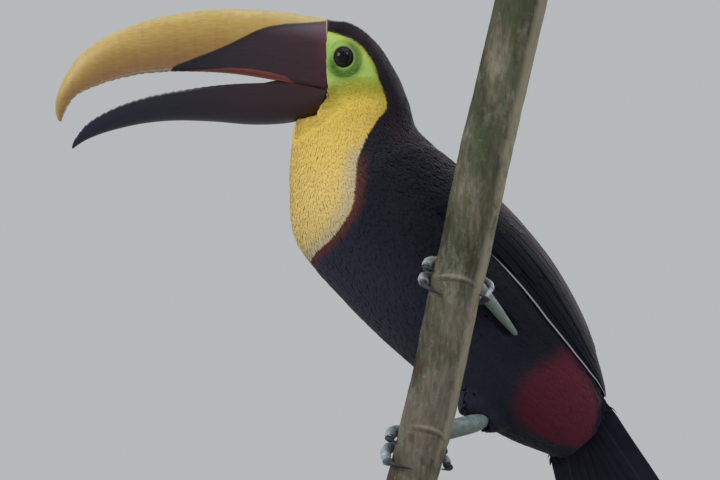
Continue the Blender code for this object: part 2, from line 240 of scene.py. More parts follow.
def placed(bm, turn, spot):
    bmesh.ops.rotate(bm, verts=bm.verts, matrix=turn)
    bmesh.ops.translate(bm, verts=bm.verts, vec=Vector(spot) * mm)
    return bm


def tube(path, sides, section=None, marks=None):
    # rings square to a path of (point, radius) pairs; section(angle) gives a share of the radius
    points = [Vector(p) for p, radius in path]
    last = len(points) - 1
    ahead = [(points[min(k + 1, last)] - points[max(k - 1, 0)]).normalized() for k in range(last + 1)]
    side = ahead[0].orthogonal().normalized()
    rings = []
    for k, (point, radius) in enumerate(path):
        side = (side - ahead[k] * side.dot(ahead[k])).normalized()
        other = ahead[k].cross(side)
        ring = []
        for angle in around(sides):
            share = section(angle) if section else 1
            ring.append(Vector(point) + (side * cos(angle) + other * sin(angle)) * radius * share)
        rings.append(ring)
    return loft(rings, marks)


# The bird's own coordinates. Planes fan from the bill's base round the head and then run down the
# body: place is the plane's number, turn is the angle round it from the belly (0) to the back (180).
spine = [
    # x, z, tilt, roll
    (-56, 364, 89, -9),
    (-46, 360, 78, -9),
    (-40, 352, 62, -9),
    (-38, 342, 42, -9),
    (-38.5, 330, 24, -8),
    (-39, 315, 11, -3),
    (-37.5, 298, 23, 6),
    (-33, 278, 41, 20),
    (-6.5, 249.5, 41, 34),
    (23.5, 220, 41, 45),
    (52, 190, 41, 50),
    (75, 162.5, 41, 53),
    (94, 138.5, 41, 55),
    (110.5, 119, 41, 57),
    (117, 106, 41, 57),
    (135, 84, 41, 57),
]
spineCount, chunkSize = 400, 8000  # planes along the smoothed spine, points handled at a time
spineRows = np.array([between(spine, (len(spine) - 1) * i / spineCount) for i in range(spineCount + 1)])


def birdPlace(points):
    # place, signed turn in degrees, profile x and z with the roll taken out, and the lie of the coat
    found = []
    tilt = np.radians(spineRows[:, 2])
    for chunk in np.array_split(np.asarray(points, float), max(1, len(points) // chunkSize)):
        past = (chunk[:, :1] - spineRows[:, 0]) * np.sin(tilt) - (chunk[:, 2:] - spineRows[:, 1]) * np.cos(tilt)
        far = np.hypot(chunk[:, :1] - spineRows[:, 0], chunk[:, 2:] - spineRows[:, 1])
        crossed = (past[:, :-1] > 0) & (past[:, 1:] <= 0)
        nearest = np.where(crossed, far[:, :-1], 1e6)
        low = nearest.argmin(1)
        low = np.where(crossed.any(1), low, np.where(past[:, 0] <= 0, 0, len(spineRows) - 2))
        a = np.take_along_axis(past, low[:, None], 1)[:, 0]
        b = np.take_along_axis(past, low[:, None] + 1, 1)[:, 0]
        t = np.clip(a / (a - b + 1e-9), 0, 1)
        row = spineRows[low] * (1 - t)[:, None] + spineRows[low + 1] * t[:, None]
        lean, roll = np.radians(row[:, 2]), np.radians(row[:, 3])
        back = (chunk[:, 0] - row[:, 0]) * np.cos(lean) + (chunk[:, 2] - row[:, 1]) * np.sin(lean)
        near = midY - chunk[:, 1]
        belly = -np.cos(roll) * back + np.sin(roll) * near
        left = np.sin(roll) * back + np.cos(roll) * near
        found.append(
            np.column_stack(
                [
                    (low + t) * (len(spine) - 1) / spineCount,
                    np.degrees(np.arctan2(left, belly)),
                    row[:, 0] - np.cos(lean) * belly,
                    row[:, 1] - np.sin(lean) * belly,
                    np.sin(lean),
                    0 * lean,
                    -np.cos(lean),
                ]
            )
        )
    found = np.concatenate(found)
    return found[:, 0], found[:, 1], found[:, 2:4], found[:, 4:7]


def inside(points, outline):
    # signed distance to a closed outline in profile, above zero inside it
    points, outline = np.asarray(points, float), np.asarray(outline, float)
    best, within = np.full(len(points), 1e9), np.zeros(len(points), bool)
    for a, b in zip(outline, np.roll(outline, -1, 0)):
        edge = b - a
        t = np.clip(((points - a) @ edge) / (edge @ edge), 0, 1)
        best = np.minimum(best, np.linalg.norm(points - a - t[:, None] * edge, axis=1))
        if a[1] != b[1]:
            crosses = (a[1] > points[:, 1]) != (b[1] > points[:, 1])
            within ^= crosses & (points[:, 0] < (b[0] - a[0]) * (points[:, 1] - a[1]) / (b[1] - a[1]) + a[0])
    return np.where(within, best, -best)


markings = {
    # outlines in profile, x and z
    "bib": [
        (-56, 388), (-50.8, 386.6), (-47.2, 385.4), (-38.2, 382.1), (-31, 376.6), (-25, 368.6),
        (-21.2, 361.5), (-18.8, 352.4), (-16.4, 347.9), (-13.9, 338), (-13.5, 334.3), (-14.6, 330.8),
        (-19.1, 326.2), (-22.5, 321), (-26.9, 314.9), (-33.2, 305.6), (-39.6, 295.3), (-42.7, 288.9),
        (-46.1, 279), (-48.8, 268.4), (-52.8, 249.5), (-58.2, 240.3), (-63.3, 232.6), (-68.6, 229.7),
        (-72, 226), (-95, 205), (-140, 240), (-140, 390),
    ],
    "green": [
        (-56, 389), (-50.8, 387.2), (-47.2, 386), (-38.2, 382.7), (-31, 377.2), (-25, 369), (-21.2, 361.7),
        (-18.6, 352.2), (-24, 353), (-31.5, 353.6), (-38, 353.4), (-45, 352.6), (-52, 351.6), (-57, 351),
        (-66, 351), (-66, 390),
    ],
    # outlines on the unrolled coat: place, and the turn from the belly towards the left side
    "vent": [
        (11.26, 42), (11.24, 31), (11.3, 19), (11.46, 5), (11.66, -3), (12.0, -11), (12.38, -15),
        (12.81, -16), (13.3, -10), (13.8, 12), (13.92, 43), (13.7, 60), (13.2, 70), (12.83, 77),
        (12.39, 77), (11.86, 73), (11.35, 67),
    ],
}
placeStep, turnStep = 22.0, 0.58  # millimetres to one place and to one degree, near the vent
rumpPlace, rumpTurn = 12.0, 128  # where the white of the rump begins along the body and round it


def headPoint(x, z, left=0.0):
    # profile x and z on the head, leaned about the head's own axis
    up, lean, upright = z - headAxis, sin(headRoll), cos(headRoll)
    return Vector((x, midY + up * lean - left * upright, headAxis + up * upright + left * lean))


eyeRadius = 9.0  # of the eyeball
eyeMiddle = {side: np.array(headPoint(-45.1, 370.2, 17.2 * sign)) for side, sign in (("left", 1), ("right", -1))}


def aroundEye(spots, side):
    # distance out along the eye's axis, distance from that axis, and the angle round it from the front
    sign = 1 if side == "left" else -1
    axis = np.array([0, -sign * cos(headRoll), sign * sin(headRoll)])
    upward = np.array([0, sin(headRoll), cos(headRoll)])
    rel = spots - eyeMiddle[side]
    out, ahead, up = rel @ axis, -rel[:, 0], rel @ upward
    return out, np.hypot(ahead, up), np.arctan2(up, ahead), axis


def eyeShade(spots):
    # the dark crescent below and behind each eye, painted shade, 0 to 1
    shade = np.zeros(len(spots))
    for side in eyeMiddle:
        out, far, angle, axis = aroundEye(spots, side)
        ahead, below = np.cos(angle), 0.5 - 0.5 * np.sin(angle)
        middle = 9.8 + 1.4 * smooth(below, 0.5, 1) - 1.8 * smooth(ahead, 0.1, 0.9)
        spread = np.where(far < middle, 3.2, 2.8 + 1.6 * smooth(below, 0.4, 1))
        band = np.exp(-np.abs((far - middle) / spread) ** 2.4)
        depth = np.maximum(smooth(below, 0.3, 0.85), 0.8 * smooth(-ahead, -0.2, 0.7))
        weight = np.clip(0.25 + 0.75 * depth, 0, 1)
        shade = np.maximum(shade, band * weight * (out > 0))
    return shade


def readMarks(points):
    # what colours the coat and the skin alike, worked out at a point or along a plume
    place, turn, profile, lie = birdPlace(points)
    unrolled = np.column_stack([place * placeStep, turn * turnStep])
    return {
        "place": place,
        "turn": turn,
        "bib": inside(profile, markings["bib"]),
        "green": inside(profile, markings["green"]),
        "eyeShade": eyeShade(points),
        "vent": inside(unrolled, np.array(markings["vent"]) * (placeStep, turnStep)),
        "rump": np.minimum((place - rumpPlace) * 26, (np.abs(turn) - rumpTurn) * 0.5),
        "lie": lie,
    }


def birdColour(f):
    # skin and coat read the same marks, so their colours meet; gives the colour and the green mark
    place, bib, green, shade = (f.mark(n) for n in ("place", "bib", "green", "eyeShade"))
    turn, vent, rump = (f.mark(n) for n in ("turn", "vent", "rump"))
    spot = f.mark("root", 1)
    cloud = f.grain(spot, 90, 3)
    fine = f.grain(spot, 420, 3)
    gold = f.ramp(
        (cloud - 0.5) * 0.1 - green / 110,
        [
            (0.0, tone(160, 168, 62)),
            (0.06, tone(178, 168, 64)),
            (0.16, tone(214, 184, 84)),
            (0.5, tone(220, 188, 102)),
            (0.95, tone(214, 188, 116)),
        ],
    )
    pale = (1 - f.step(bib + (cloud - 0.5) * 4, 1, 12)) * f.step(place, 5.1, 6.2)
    gold = f.blend(pale * 0.8, gold, tone(182, 170, 144))
    gold = f.blend((1 - f.step(bib, 0.0, 3.5)) * (1 - f.step(place, 4.2, 5.4)) * 0.3, gold, tone(168, 132, 60))
    lime = f.blend(f.step(green + (cloud - 0.5) * 5, 1.0, 10), tone(182, 204, 104), tone(158, 194, 100))
    # the green skin darkened in a crescent below and behind each eye: painted shade
    lime = f.blend(shade, lime, tone(66, 104, 28))
    face = f.blend(f.step(green + (fine - 0.5) * 5, -3.5, 4.5), gold, lime)
    # maroon patches painted over the back: a painted sheen
    paintedBackSheen = f.step(turn, 96, 150) * f.step(cloud, 0.3, 0.7)
    # the belly side painted lighter and bluer than the back: a painted sheen
    black = f.blend(f.step(turn, 10, 60), tone(37, 42, 56), tone(22, 25, 35))
    black = f.blend(paintedBackSheen * 0.8, black, tone(54, 36, 47))
    rust = f.step(bib + (cloud - 0.5) * 4, -7.5, -1.5) * f.step(place, 5.7, 6.8)
    black = f.blend(rust * 0.85, black, tone(92, 50, 44))
    red = f.blend(fine, tone(98, 36, 52), tone(80, 31, 46))
    black = f.blend(f.step(vent + (cloud - 0.5) * 5, -5, 5.5), black, red)
    black = f.blend(f.step(rump + (cloud - 0.5) * 4, -1, 2), black, tone(222, 216, 200))
    return f.blend(f.step(bib, -0.6, 0.6), black, face), green


def plumageFinish():
    f = Finish("plumage", SpecularIorLevel=0.12, SheenWeight=0.04, SheenRoughness=0.5)
    colour, green = birdColour(f)
    along, across, shade = f.mark("along"), f.mark("across"), f.mark("shade")
    light = f.step(f.mark("bib"), -0.5, 0.5)
    # each vane darker towards its root, under the vane before it: painted shade, less on the bib
    root = (1 - f.step(along, 0.0, 0.5)) * (0.5 - light * 0.44)
    colour = f.blend(root, colour, f.blend(0.7, colour, (0.01, 0.008, 0.006)))
    colour = f.blend(1.0, colour, f.ramp(shade, [(0, (0.9,) * 3), (1, (1, 1, 1))]), "MULTIPLY")
    barbs = f.sums("SINE", along * 70 + f.sums("ABSOLUTE", across) * 9)
    f.paint(BaseColor=colour, Roughness=0.58 + shade * 0.2)
    f.raised(barbs * 0.4 - f.sums("ABSOLUTE", across) * 0.5, 0.00005, 0.4)
    return f


def skinFinish():
    f = Finish("birdSkin", SpecularIorLevel=0.16)
    colour, green = birdColour(f)
    spot = f.at()
    bare = f.step(green, -1, 2)
    pores = f.cells(spot, 1500, "DISTANCE_TO_EDGE")
    folds = f.grain(f.stretched(spot, (1, 1, 1.8)), 520, 4, 0.6)
    colour = f.blend(bare * (1 - f.step(pores, 0.0, 0.12)) * 0.4, colour, tone(58, 92, 20))
    colour = f.blend(bare * f.step(folds, 0.5, 0.75) * 0.3, colour, tone(160, 190, 96))
    f.paint(BaseColor=colour, Roughness=0.85 - bare * 0.36 + folds * 0.08)
    f.raised((f.step(pores, 0, 0.3) * 0.4 + folds) * bare, 0.00022, 0.7)
    return f


# Bill: ribs from base to tip, each a top point, a bottom point and a half width.
upperRibs = [
    (-56.7, 396.2, -56.6, 349.1, 20.5),
    (-88.7, 401.4, -83.5, 353.6, 19.6),
    (-128.3, 403.3, -120.1, 359.5, 17.6),
    (-168.1, 398.3, -151.0, 361.1, 15.2),
    (-201.3, 387.7, -179.0, 359.9, 12.6),
    (-224.6, 373.3, -202.2, 355.4, 10.0),
    (-235.4, 359.0, -218.4, 349.8, 7.8),
    (-241.3, 346.1, -229.6, 343.9, 5.6),
    (-243.0, 335.8, -236.0, 334.6, 3.6),
    (-241.6, 327.8, -239.2, 326.6, 1.3),
]
lowerRibs = [
    (-56.8, 348.5, -63.1, 330.4, 19.8),
    (-81.8, 352.7, -84.2, 325.9, 18.9),
    (-108.2, 352.7, -108.3, 324.9, 17.0),
    (-133.9, 351.1, -134.4, 326.9, 15.0),
    (-159.8, 347.5, -160.5, 327.6, 12.8),
    (-183.0, 342.7, -183.6, 325.4, 10.6),
    (-205.6, 334.5, -204.8, 320.6, 8.2),
    (-220.9, 325.1, -219.9, 315.2, 5.4),
    (-229.3, 315.0, -228.4, 310.2, 2.4),
    (-231.7, 309.4, -231.3, 307.8, 1.0),
]
billPlan = {
    "rings": 132,
    "outer": 45,  # points round the outside of a ring
    "inner": 19,  # and across the hollow within
    "tooth": 0.8,  # depth of the saw edge
    "toothEvery": 5.5,
    "toothed": (2.2, 4.0, 7.6, 8.6),  # where the saw edge fades in and out, in ribs from the base
    "tuck": 0.04,  # how far the sides draw in at the edge, as a share of the width
    "keel": 0.012,  # the ridge, as a share of the height
    "hollow": 0.22,
    "lip": [(0.35, 0.996), (0.8, 0.985), (2.4, 0.96), (7, 0.9), (12, 0.78)],  # mm back, share of the base's size
    "mouth": [
        # x, lower and upper height, half width of the skin at the gape
        (-57, 347.6, 350, 16.6), (-64, 348.4, 351.2, 17.4), (-72, 349.8, 352.8, 18),
        (-79, 350.8, 354.2, 17.8), (-86, 351.4, 355.6, 17.2), (-90, 351.6, 355.2, 16.4),
        (-94, 351.8, 354.4, 15.2), (-98, 352, 353.5, 13.5), (-101, 352.3, 352.8, 10),
    ],
    "wedge": [
        # outline of the dark wedge in profile, x and z
        (-50, 396.5), (-59.3, 395), (-69.6, 394.1), (-85, 393.5), (-95.5, 391.6), (-104.7, 388.6),
        (-113.6, 383.9), (-123.9, 378.7), (-134.5, 374.1), (-147.4, 369.6), (-157.9, 365.8), (-163, 363.2),
        (-160, 350), (-120, 335), (-50, 330),
    ],
    "lining": [
        # outline of the red fold along the gape
        (-141, 361.6), (-122.2, 362.8), (-108.6, 362.1), (-95, 359.7), (-84.8, 357), (-80.5, 353.6),
        (-78, 350), (-78, 330), (-141, 330),
    ],
}


def scaledRing(ring, share, back):
    # a ring scaled about its middle and moved back along the bird
    middle = sum(ring, Vector()) / len(ring)
    return [middle + (p - middle) * share + Vector((back, 0, 0)) for p in ring]


def billShape(ribs, arched):
    # a jaw's rings, with each point's rise from the edge to the ridge and its place along the bill
    rings, rises, lines = [], [], []
    walked, before = 0.0, None
    for place in steps(0, len(ribs) - 1, billPlan["rings"]):
        tx, tz, bx, bz, width = between(ribs, place)
        top, bottom = headPoint(tx, tz), headPoint(bx, bz)
        height = top - bottom
        rise = height.normalized() if arched else -height.normalized()
        left = headPoint(0, headAxis, 1) - headPoint(0, headAxis)
        edge = bottom if arched else top
        walked += (edge - before).length if before else 0
        before = edge
        tall = height.length
        fadeIn, full, fadeOut, gone = billPlan["toothed"]
        tooth = billPlan["tooth"] * float(smooth(place, fadeIn, full) * (1 - smooth(place, fadeOut, gone)))
        tooth *= (walked / billPlan["toothEvery"] % 1) ** 1.5
        hollow = billPlan["hollow"] * tall * min(1.0, place / 2)
        ring, ringRise = [], []
        for a in steps(0, pi, billPlan["outer"]):
            tuck = 1 - billPlan["tuck"] * cos(a) ** 2
            keel = billPlan["keel"] * tall * max(0, sin(a)) ** 40
            low = max(0.0, 1 - 5 * sin(a))
            lift = tall * sin(a) ** 0.92 + keel + tooth * low
            ring.append(edge + left * width * cos(a) * tuck + rise * lift)
            ringRise.append(sin(a) ** 0.92)
        for a in steps(0.2, pi - 0.2, billPlan["inner"]):
            depth = hollow * sin(a) + tooth * (0.5 if sin(a) < 0.4 else 0)
            ring.append(edge - left * width * 0.86 * cos(a) + rise * depth)
            ringRise.append(-sin(a))
        rings.append(ring)
        rises.append(ringRise)
        lines.append([place] * len(ring))
    # the base swells to a low black lip and runs back under the skin
    base = rings[0]
    for back, share in billPlan["lip"]:
        rings.insert(0, scaledRing(base, share, back))
        rises.insert(0, rises[0])
        lines.insert(0, [-back / 10] * len(rings[0]))
    return rings, rises, lines


# Where the legs stand, which the plumes round the thighs follow too.
legs = {
    # height of the foot on the stem, the ball's rise above it and its angle round the stem, and the heel
    "left": {"height": 206.5, "ballRise": 5.5, "ball": 63, "heel": (68.2, -21.5, 177.2)},
    "right": {"height": 105.5, "ballRise": 2.5, "ball": 92, "heel": (48.0, 0.0, 121.0)},
}


# Skin: the flesh nodes blended into one, lowered by the depth of the coat.
skinPlan = {
    "flesh": ["head", "neck", "trunk", "left_thigh", "right_thigh", "left_wing", "right_wing"],
    "swell": 0.5,  # the flesh grows by this before it is blended, and gives it back after
    "sunk": 0.6,  # the thighs' tubes are this much thinner than their rows say
    "voxel": 1.5,
    "rounds": 7,  # of smoothing
    "finer": (24, 17),  # round each eye the mesh is made finer within these distances
    "plug": [(-7, 0.93), (-1, 0.955), (4, 0.97), (10, 0.9)],  # mm back from the bill's base, share of its size
}


def meshTree(mesh):
    # a mesh's search tree, points and triangles, in millimetres
    mesh.calc_loop_triangles()
    spots, corners = np.empty(len(mesh.vertices) * 3), np.empty(len(mesh.loop_triangles) * 3, np.int32)
    mesh.vertices.foreach_get("co", spots)
    mesh.loop_triangles.foreach_get("vertices", corners)
    spots, corners = spots.reshape(-1, 3) / mm, corners.reshape(-1, 3)
    return BVHTree.FromPolygons(spots.tolist(), corners.tolist()), spots, corners


def blendFlesh(piece, voxel, rounds):
    # closes a joined mesh into one even skin
    remesh = piece.modifiers.new("blend", "REMESH")
    remesh.mode, remesh.voxel_size = "VOXEL", voxel * mm
    ease = piece.modifiers.new("ease", "SMOOTH")
    ease.factor, ease.iterations = 0.5, rounds
    mesh = bpy.data.meshes.new_from_object(piece.evaluated_get(bpy.context.evaluated_depsgraph_get()))
    piece.modifiers.clear()
    old, piece.data = piece.data, mesh
    bpy.data.meshes.remove(old)


def addTo(bm, part):
    # one bmesh goes into another by way of a mesh
    mesh = bpy.data.meshes.new("part")
    part.to_mesh(mesh)
    part.free()
    bm.from_mesh(mesh)
    bpy.data.meshes.remove(mesh)


def joined(names, swell=0.0):
    bm = bmesh.new()
    for name in names:
        part = bmesh.new()
        part.from_mesh(bpy.data.objects[name].data)
        bmesh.ops.remove_doubles(part, verts=part.verts, dist=1e-6)
        part.normal_update()
        for vert in part.verts:
            vert.co += vert.normal * swell * mm
        addTo(bm, part)
    return bm


def coatDepth(marks):
    depth = np.interp(marks["place"], [0, 2, 4.5, 7, 9, 14], [0.7, 0.9, 1.3, 1.8, 2.2, 2.2])
    return depth * (1 - smooth(marks["green"], -1, 3))


eyeFolds = (
    # distance from the eye's axis, and the rise of the skin there: rim, groove, fold
    [7.0, 7.6, 8.5, 9.6, 10.7, 12.0, 13.4, 15.2, 18.5],
    [0.3, 0.45, 0.2, -0.25, 0.15, 0.35, -0.1, 0.1, 0],
)


def sculptEyes(spots):
    for side in eyeMiddle:
        out, far, angle, axis = aroundEye(spots, side)
        near = (out > 1) & (far < 19)
        oval = far * (1 + 0.03 * np.cos(2 * angle))
        ripple = np.sin(angle * 13 + 3 * np.sin(far * 0.8)) * 0.06 + np.sin(angle * 29 + far * 2.1) * 0.035
        rise = np.interp(oval, eyeFolds[0], eyeFolds[1])
        rise += ripple * smooth(oval, 6, 8) * (1 - smooth(oval, 14, 18))
        level = np.where(oval < eyeFolds[0][0], np.minimum(out, 3.5), out + rise)
        spots = np.where(near[:, None], spots + (level - out)[:, None] * axis, spots)
    return spots


def nearEyes(bm, reach):
    middles = [Vector(middle) * mm for middle in eyeMiddle.values()]
    return {v for v in bm.verts if min((v.co - middle).length for middle in middles) < reach * mm}


thighs = [
    # feathered thighs: x, y, z and radius along each, from the body to where the shank comes out
    [
        (69.5, 14, 171.2, 22), (68.5, 3, 173, 25), (67.8, -7.5, 175, 24), (67.3, -13.5, 176.2, 20.5),
        (66.8, -18.5, 177.2, 18), (66.6, -21, 177.8, 13.5), (66.5, -22.2, 178, 7),
    ],
    [(68, 24, 135, 13), (58, 14, 129, 12), (52, 5, 124.5, 9.5), (49, 1, 121.5, 6.5)],
    [(64, 16, 137, 13), (52, 8, 132, 12.5), (41, 4, 132.5, 11), (31, 2, 133, 9.5)],
]


def addThighs(bm):
    for rows in thighs:
        addTo(bm, tube([(row[:3], row[3] - skinPlan["sunk"]) for row in rows], 16))


def onHead(points):
    # height in profile of points on the head and distance to its left, its lean taken out
    back, up = points[:, 1] - midY, points[:, 2] - headAxis
    return headAxis + up * cos(headRoll) + back * sin(headRoll), up * sin(headRoll) - back * cos(headRoll)


def behindBill(points):
    # distance back from the bill's rear edge
    return points[:, 0] - np.interp(onHead(points)[0], [330.4, 348.5, 349.5, 400], [-63.1, -56.9, -56.7, -56.7])


def nearBill(points):
    # distance back or down from the bill's rear edge
    return np.maximum(behindBill(points), 329 - onHead(points)[0])


def jawAt(points):
    # the lower jaw's bottom edge and half width at each point along it
    ribs = np.array(lowerRibs)[::-1]
    return np.interp(points[:, 0], ribs[:, 2], ribs[:, 3]), np.interp(points[:, 0], ribs[:, 0], ribs[:, 4])


gapeHeight, jawRoom = 352.5, 0.84  # the gape, and the share of the jaw's width that is free inside it


def tuckUnderBill(spots):
    # draws the skin in wherever the lower jaw's rear corner covers it
    upright, left = onHead(spots)
    bottom, wide = jawAt(spots)
    share = (gapeHeight - upright) / (gapeHeight - bottom)
    room = jawRoom * wide * np.sqrt(np.clip(1 - np.clip(share, 0, 1) ** 2.2, 0.02, 1))
    under = (behindBill(spots) < -0.4) & (share > 0) & (share < 1)
    drawn = np.where(under, np.clip(left, -room, room), left)
    return spots + (drawn - left)[:, None] * np.array([0, -cos(headRoll), sin(headRoll)])


def addBillRoots(bm):
    # each jaw's base runs back into the head, so that the skin closes round it
    for ribs, arched in ((upperRibs, True), (lowerRibs, False)):
        rings = billShape(ribs, arched)[0]
        base = rings[len(billPlan["lip"])]
        addTo(bm, loft([scaledRing(base, share, x) for x, share in skinPlan["plug"]]))


def makeSkin():
    # the left heel lies flat in the plumage, over a dome that closes the hollow of its thigh
    shaped = [name for name in skinPlan["flesh"] if name != "left_thigh"]
    bm = joined(shaped + ["left_eye", "right_eye"], skinPlan["swell"])
    addBillRoots(bm)
    addThighs(bm)
    skin = toObject("bird_skin", bm, skinFinish())
    blendFlesh(skin, skinPlan["voxel"], skinPlan["rounds"])
    bm = bmesh.new()
    bm.from_mesh(skin.data)
    for reach in skinPlan["finer"]:
        close = nearEyes(bm, reach)
        edges = [e for e in bm.edges if e.verts[0] in close and e.verts[1] in close]
        bmesh.ops.subdivide_edges(bm, edges=edges, cuts=1, use_grid_fill=True)
        close = list(nearEyes(bm, reach - 1))
        bmesh.ops.smooth_vert(bm, verts=close, factor=0.5, use_axis_x=True, use_axis_y=True, use_axis_z=True)
    bmesh.ops.triangulate(bm, faces=[f for f in bm.faces if len(f.verts) > 4])
    bm.normal_update()
    spots = np.array([v.co for v in bm.verts]) / mm
    normals = np.array([v.normal for v in bm.verts])
    marks = readMarks(spots)
    deep = (skinPlan["swell"] + coatDepth(marks)) * (0.3 + 0.7 * smooth(nearBill(spots), 0.5, 6))
    spots -= normals * deep[:, None]
    spots = tuckUnderBill(sculptEyes(spots))
    for vert, spot in zip(bm.verts, spots):
        vert.co = spot * mm
    bm.to_mesh(skin.data)
    bm.free()
    skin.data.shade_smooth()
    skin.data.materials.clear()
    skin.data.materials.append(bpy.data.materials["birdSkin"])
    writeMarks(skin.data, spots, readMarks(spots))
    return keep(skin, "black_plumage", *skinPlan["flesh"])


def writeFloats(mesh, layers):
    for name, values in layers.items():
        mesh.attributes.new(name, "FLOAT", "POINT").data.foreach_set("value", np.array(values, np.float32))


def writeMarks(mesh, roots, marks, **more):
    layers = {name: marks[name] for name in ("place", "turn", "bib", "green", "eyeShade", "vent", "rump")}
    layers["turn"] = np.abs(marks["turn"])
    writeFloats(mesh, dict(layers, **more))
    layer = mesh.attributes.new("root", "FLOAT_VECTOR", "POINT")
    layer.data.foreach_set("vector", (roots * mm).astype(np.float32).ravel())


print("skin")
skin = makeSkin()


def fromArrays(name, verts, faces, finish):
    # verts is N x 3 in millimetres, faces a list of index arrays, one array for each face size
    mesh = bpy.data.meshes.new(name)
    sizes = np.concatenate([np.full(len(f), f.shape[1]) for f in faces])
    corners = np.concatenate([f.ravel() for f in faces]).astype(np.int32)
    mesh.vertices.add(len(verts))
    mesh.vertices.foreach_set("co", (verts * mm).astype(np.float32).ravel())
    mesh.loops.add(len(corners))
    mesh.loops.foreach_set("vertex_index", corners)
    mesh.polygons.add(len(sizes))
    mesh.polygons.foreach_set("loop_start", np.concatenate([[0], np.cumsum(sizes)[:-1]]).astype(np.int32))
    mesh.update(calc_edges=True)
    mesh.shade_smooth()
    mesh.materials.append(finish.material)
    piece = bpy.data.objects.new(name, mesh)
    scene.collection.objects.link(piece)
    return piece, corners


def bakeMap(mesh, spots, corners):
    layer = mesh.uv_layers.new(name="OFBake")
    layer.data.foreach_set("uv", spots[corners].astype(np.float32).ravel())


# Plumes: each is a thin closed vane that follows the skin from its root, ridged along its middle.
vanes = {
    # stations along a vane, its width at each as a share of the full width, and the ease of its shading
    "fine": (np.array([0, 0.36, 0.72, 1.0]), np.array([0.5, 1.0, 0.84, 0.0]), 0.95),
    "full": (np.array([0, 0.2, 0.42, 0.64, 0.84, 1.0]), np.array([0.4, 0.82, 1.0, 0.95, 0.66, 0.0]), 0.88),
}
vaneSink, vanePatch = 0.35, 0.003  # how deep a root sits, a vane's size on the bake map
sharpest, farthest = 0.55, 2.5  # the bend and the step off the ground that a vane can't follow
shorter = 0.45  # share of its length that a vane is tried at again


def scatter(spots, corners, perSquare):
    # points strewn evenly over a surface
    a, b, c = (spots[corners[:, k]] for k in range(3))
    areas = np.linalg.norm(np.cross(b - a, c - a), axis=1) / 2
    count = int(areas.sum() * perSquare)
    picked = dice.choice(len(areas), count, p=areas / areas.sum())
    u, v = dice.random((2, count))
    flip = u + v > 1
    u, v = np.where(flip, 1 - u, u)[:, None], np.where(flip, 1 - v, v)[:, None]
    return a[picked] + (b - a)[picked] * u + (c - a)[picked] * v


def thinned(points, gaps):
    # keeps points that stand at least their gap apart
    tree = KDTree(len(points))
    for i, point in enumerate(points):
        tree.insert(point, i)
    tree.balance()
    alive, kept = np.ones(len(points), bool), []
    for i, point in enumerate(points):
        if alive[i]:
            kept.append(i)
            for _, j, _ in tree.find_range(point, gaps[i]):
                alive[j] = False
    return np.array(kept, int)


def easeNormals(mesh, ups, share):
    # shading eased towards the surface that the feathers lie on
    plain = np.empty(len(mesh.vertices) * 3)
    mesh.vertices.foreach_get("normal", plain)
    mesh.normals_split_custom_set_from_vertices(unit(ups * share + plain.reshape(-1, 3) * (1 - share)))


def followGround(roots, lie, length, swing, ground, stations):
    # walks each vane over the ground from its root; smoothly says which ones never bend sharply
    count = len(roots)
    spots, ups = np.empty((count, len(stations), 3)), np.empty((count, len(stations), 3))
    smoothly = np.ones(count, bool)
    for i in range(count):
        spot, up, _, _ = ground.find_nearest(Vector(roots[i]))
        aim = Vector(lie[i])
        aim = (aim - up * aim.dot(up)).normalized()
        aim = aim * cos(swing[i]) + up.cross(aim) * sin(swing[i])
        spots[i, 0], ups[i, 0] = spot, up
        for k in range(1, len(stations)):
            ahead = spot + aim * length[i] * (stations[k] - stations[k - 1])
            onSkin, newUp, _, gap = ground.find_nearest(ahead)
            if newUp.dot(up) < sharpest or gap > farthest:
                # where the ground rises ahead the vane runs on into it, out of sight
                smoothly[i] &= newUp.dot(aim) < -0.3
                onSkin, newUp = ahead, up
            aim = onSkin - spot
            aim = (aim - newUp * aim.dot(newUp)).normalized()
            spot, up = onSkin, newUp
            spots[i, k], ups[i, k] = spot, up
    return spots, ups, smoothly


def vaneFaces(ringCount, count):
    # a vane has three points on each ring and one at its tip; the faces are repeated for every vane
    perVane = ringCount * 3 + 1
    quads, tris = [], [(0, 1, 2)]
    for k in range(ringCount - 1):
        for a, b in ((0, 1), (1, 2), (2, 0)):
            quads.append((k * 3 + a, k * 3 + 3 + a, k * 3 + 3 + b, k * 3 + b))
    top = (ringCount - 1) * 3
    tris += [(top + a, perVane - 1, top + b) for a, b in ((0, 1), (1, 2), (2, 0))]
    start = (np.arange(count) * perVane)[:, None, None]
    return [(np.array(quads)[None] + start).reshape(-1, 4), (np.array(tris)[None] + start).reshape(-1, 3)]


def markVanes(mesh, roots, tips, along, across, shade):
    # the marks run from those at the root towards those under the tip, so that edges of colour stay in place
    count, perVane = len(roots), len(along)
    first, last = readMarks(roots), readMarks(tips)
    share = np.tile(0.1 + 0.7 * along, count)
    each = {}
    for key in set(first) - {"lie"}:
        each[key] = np.repeat(first[key], perVane) * (1 - share) + np.repeat(last[key], perVane) * share
    each["turn"] = np.repeat(first["turn"], perVane)
    more = {"across": np.tile(across, count), "along": np.tile(along, count), "shade": np.repeat(shade, perVane)}
    writeMarks(mesh, np.repeat(roots, perVane, axis=0), each, **more)
    return first["place"], first["turn"] / 360 + 0.5


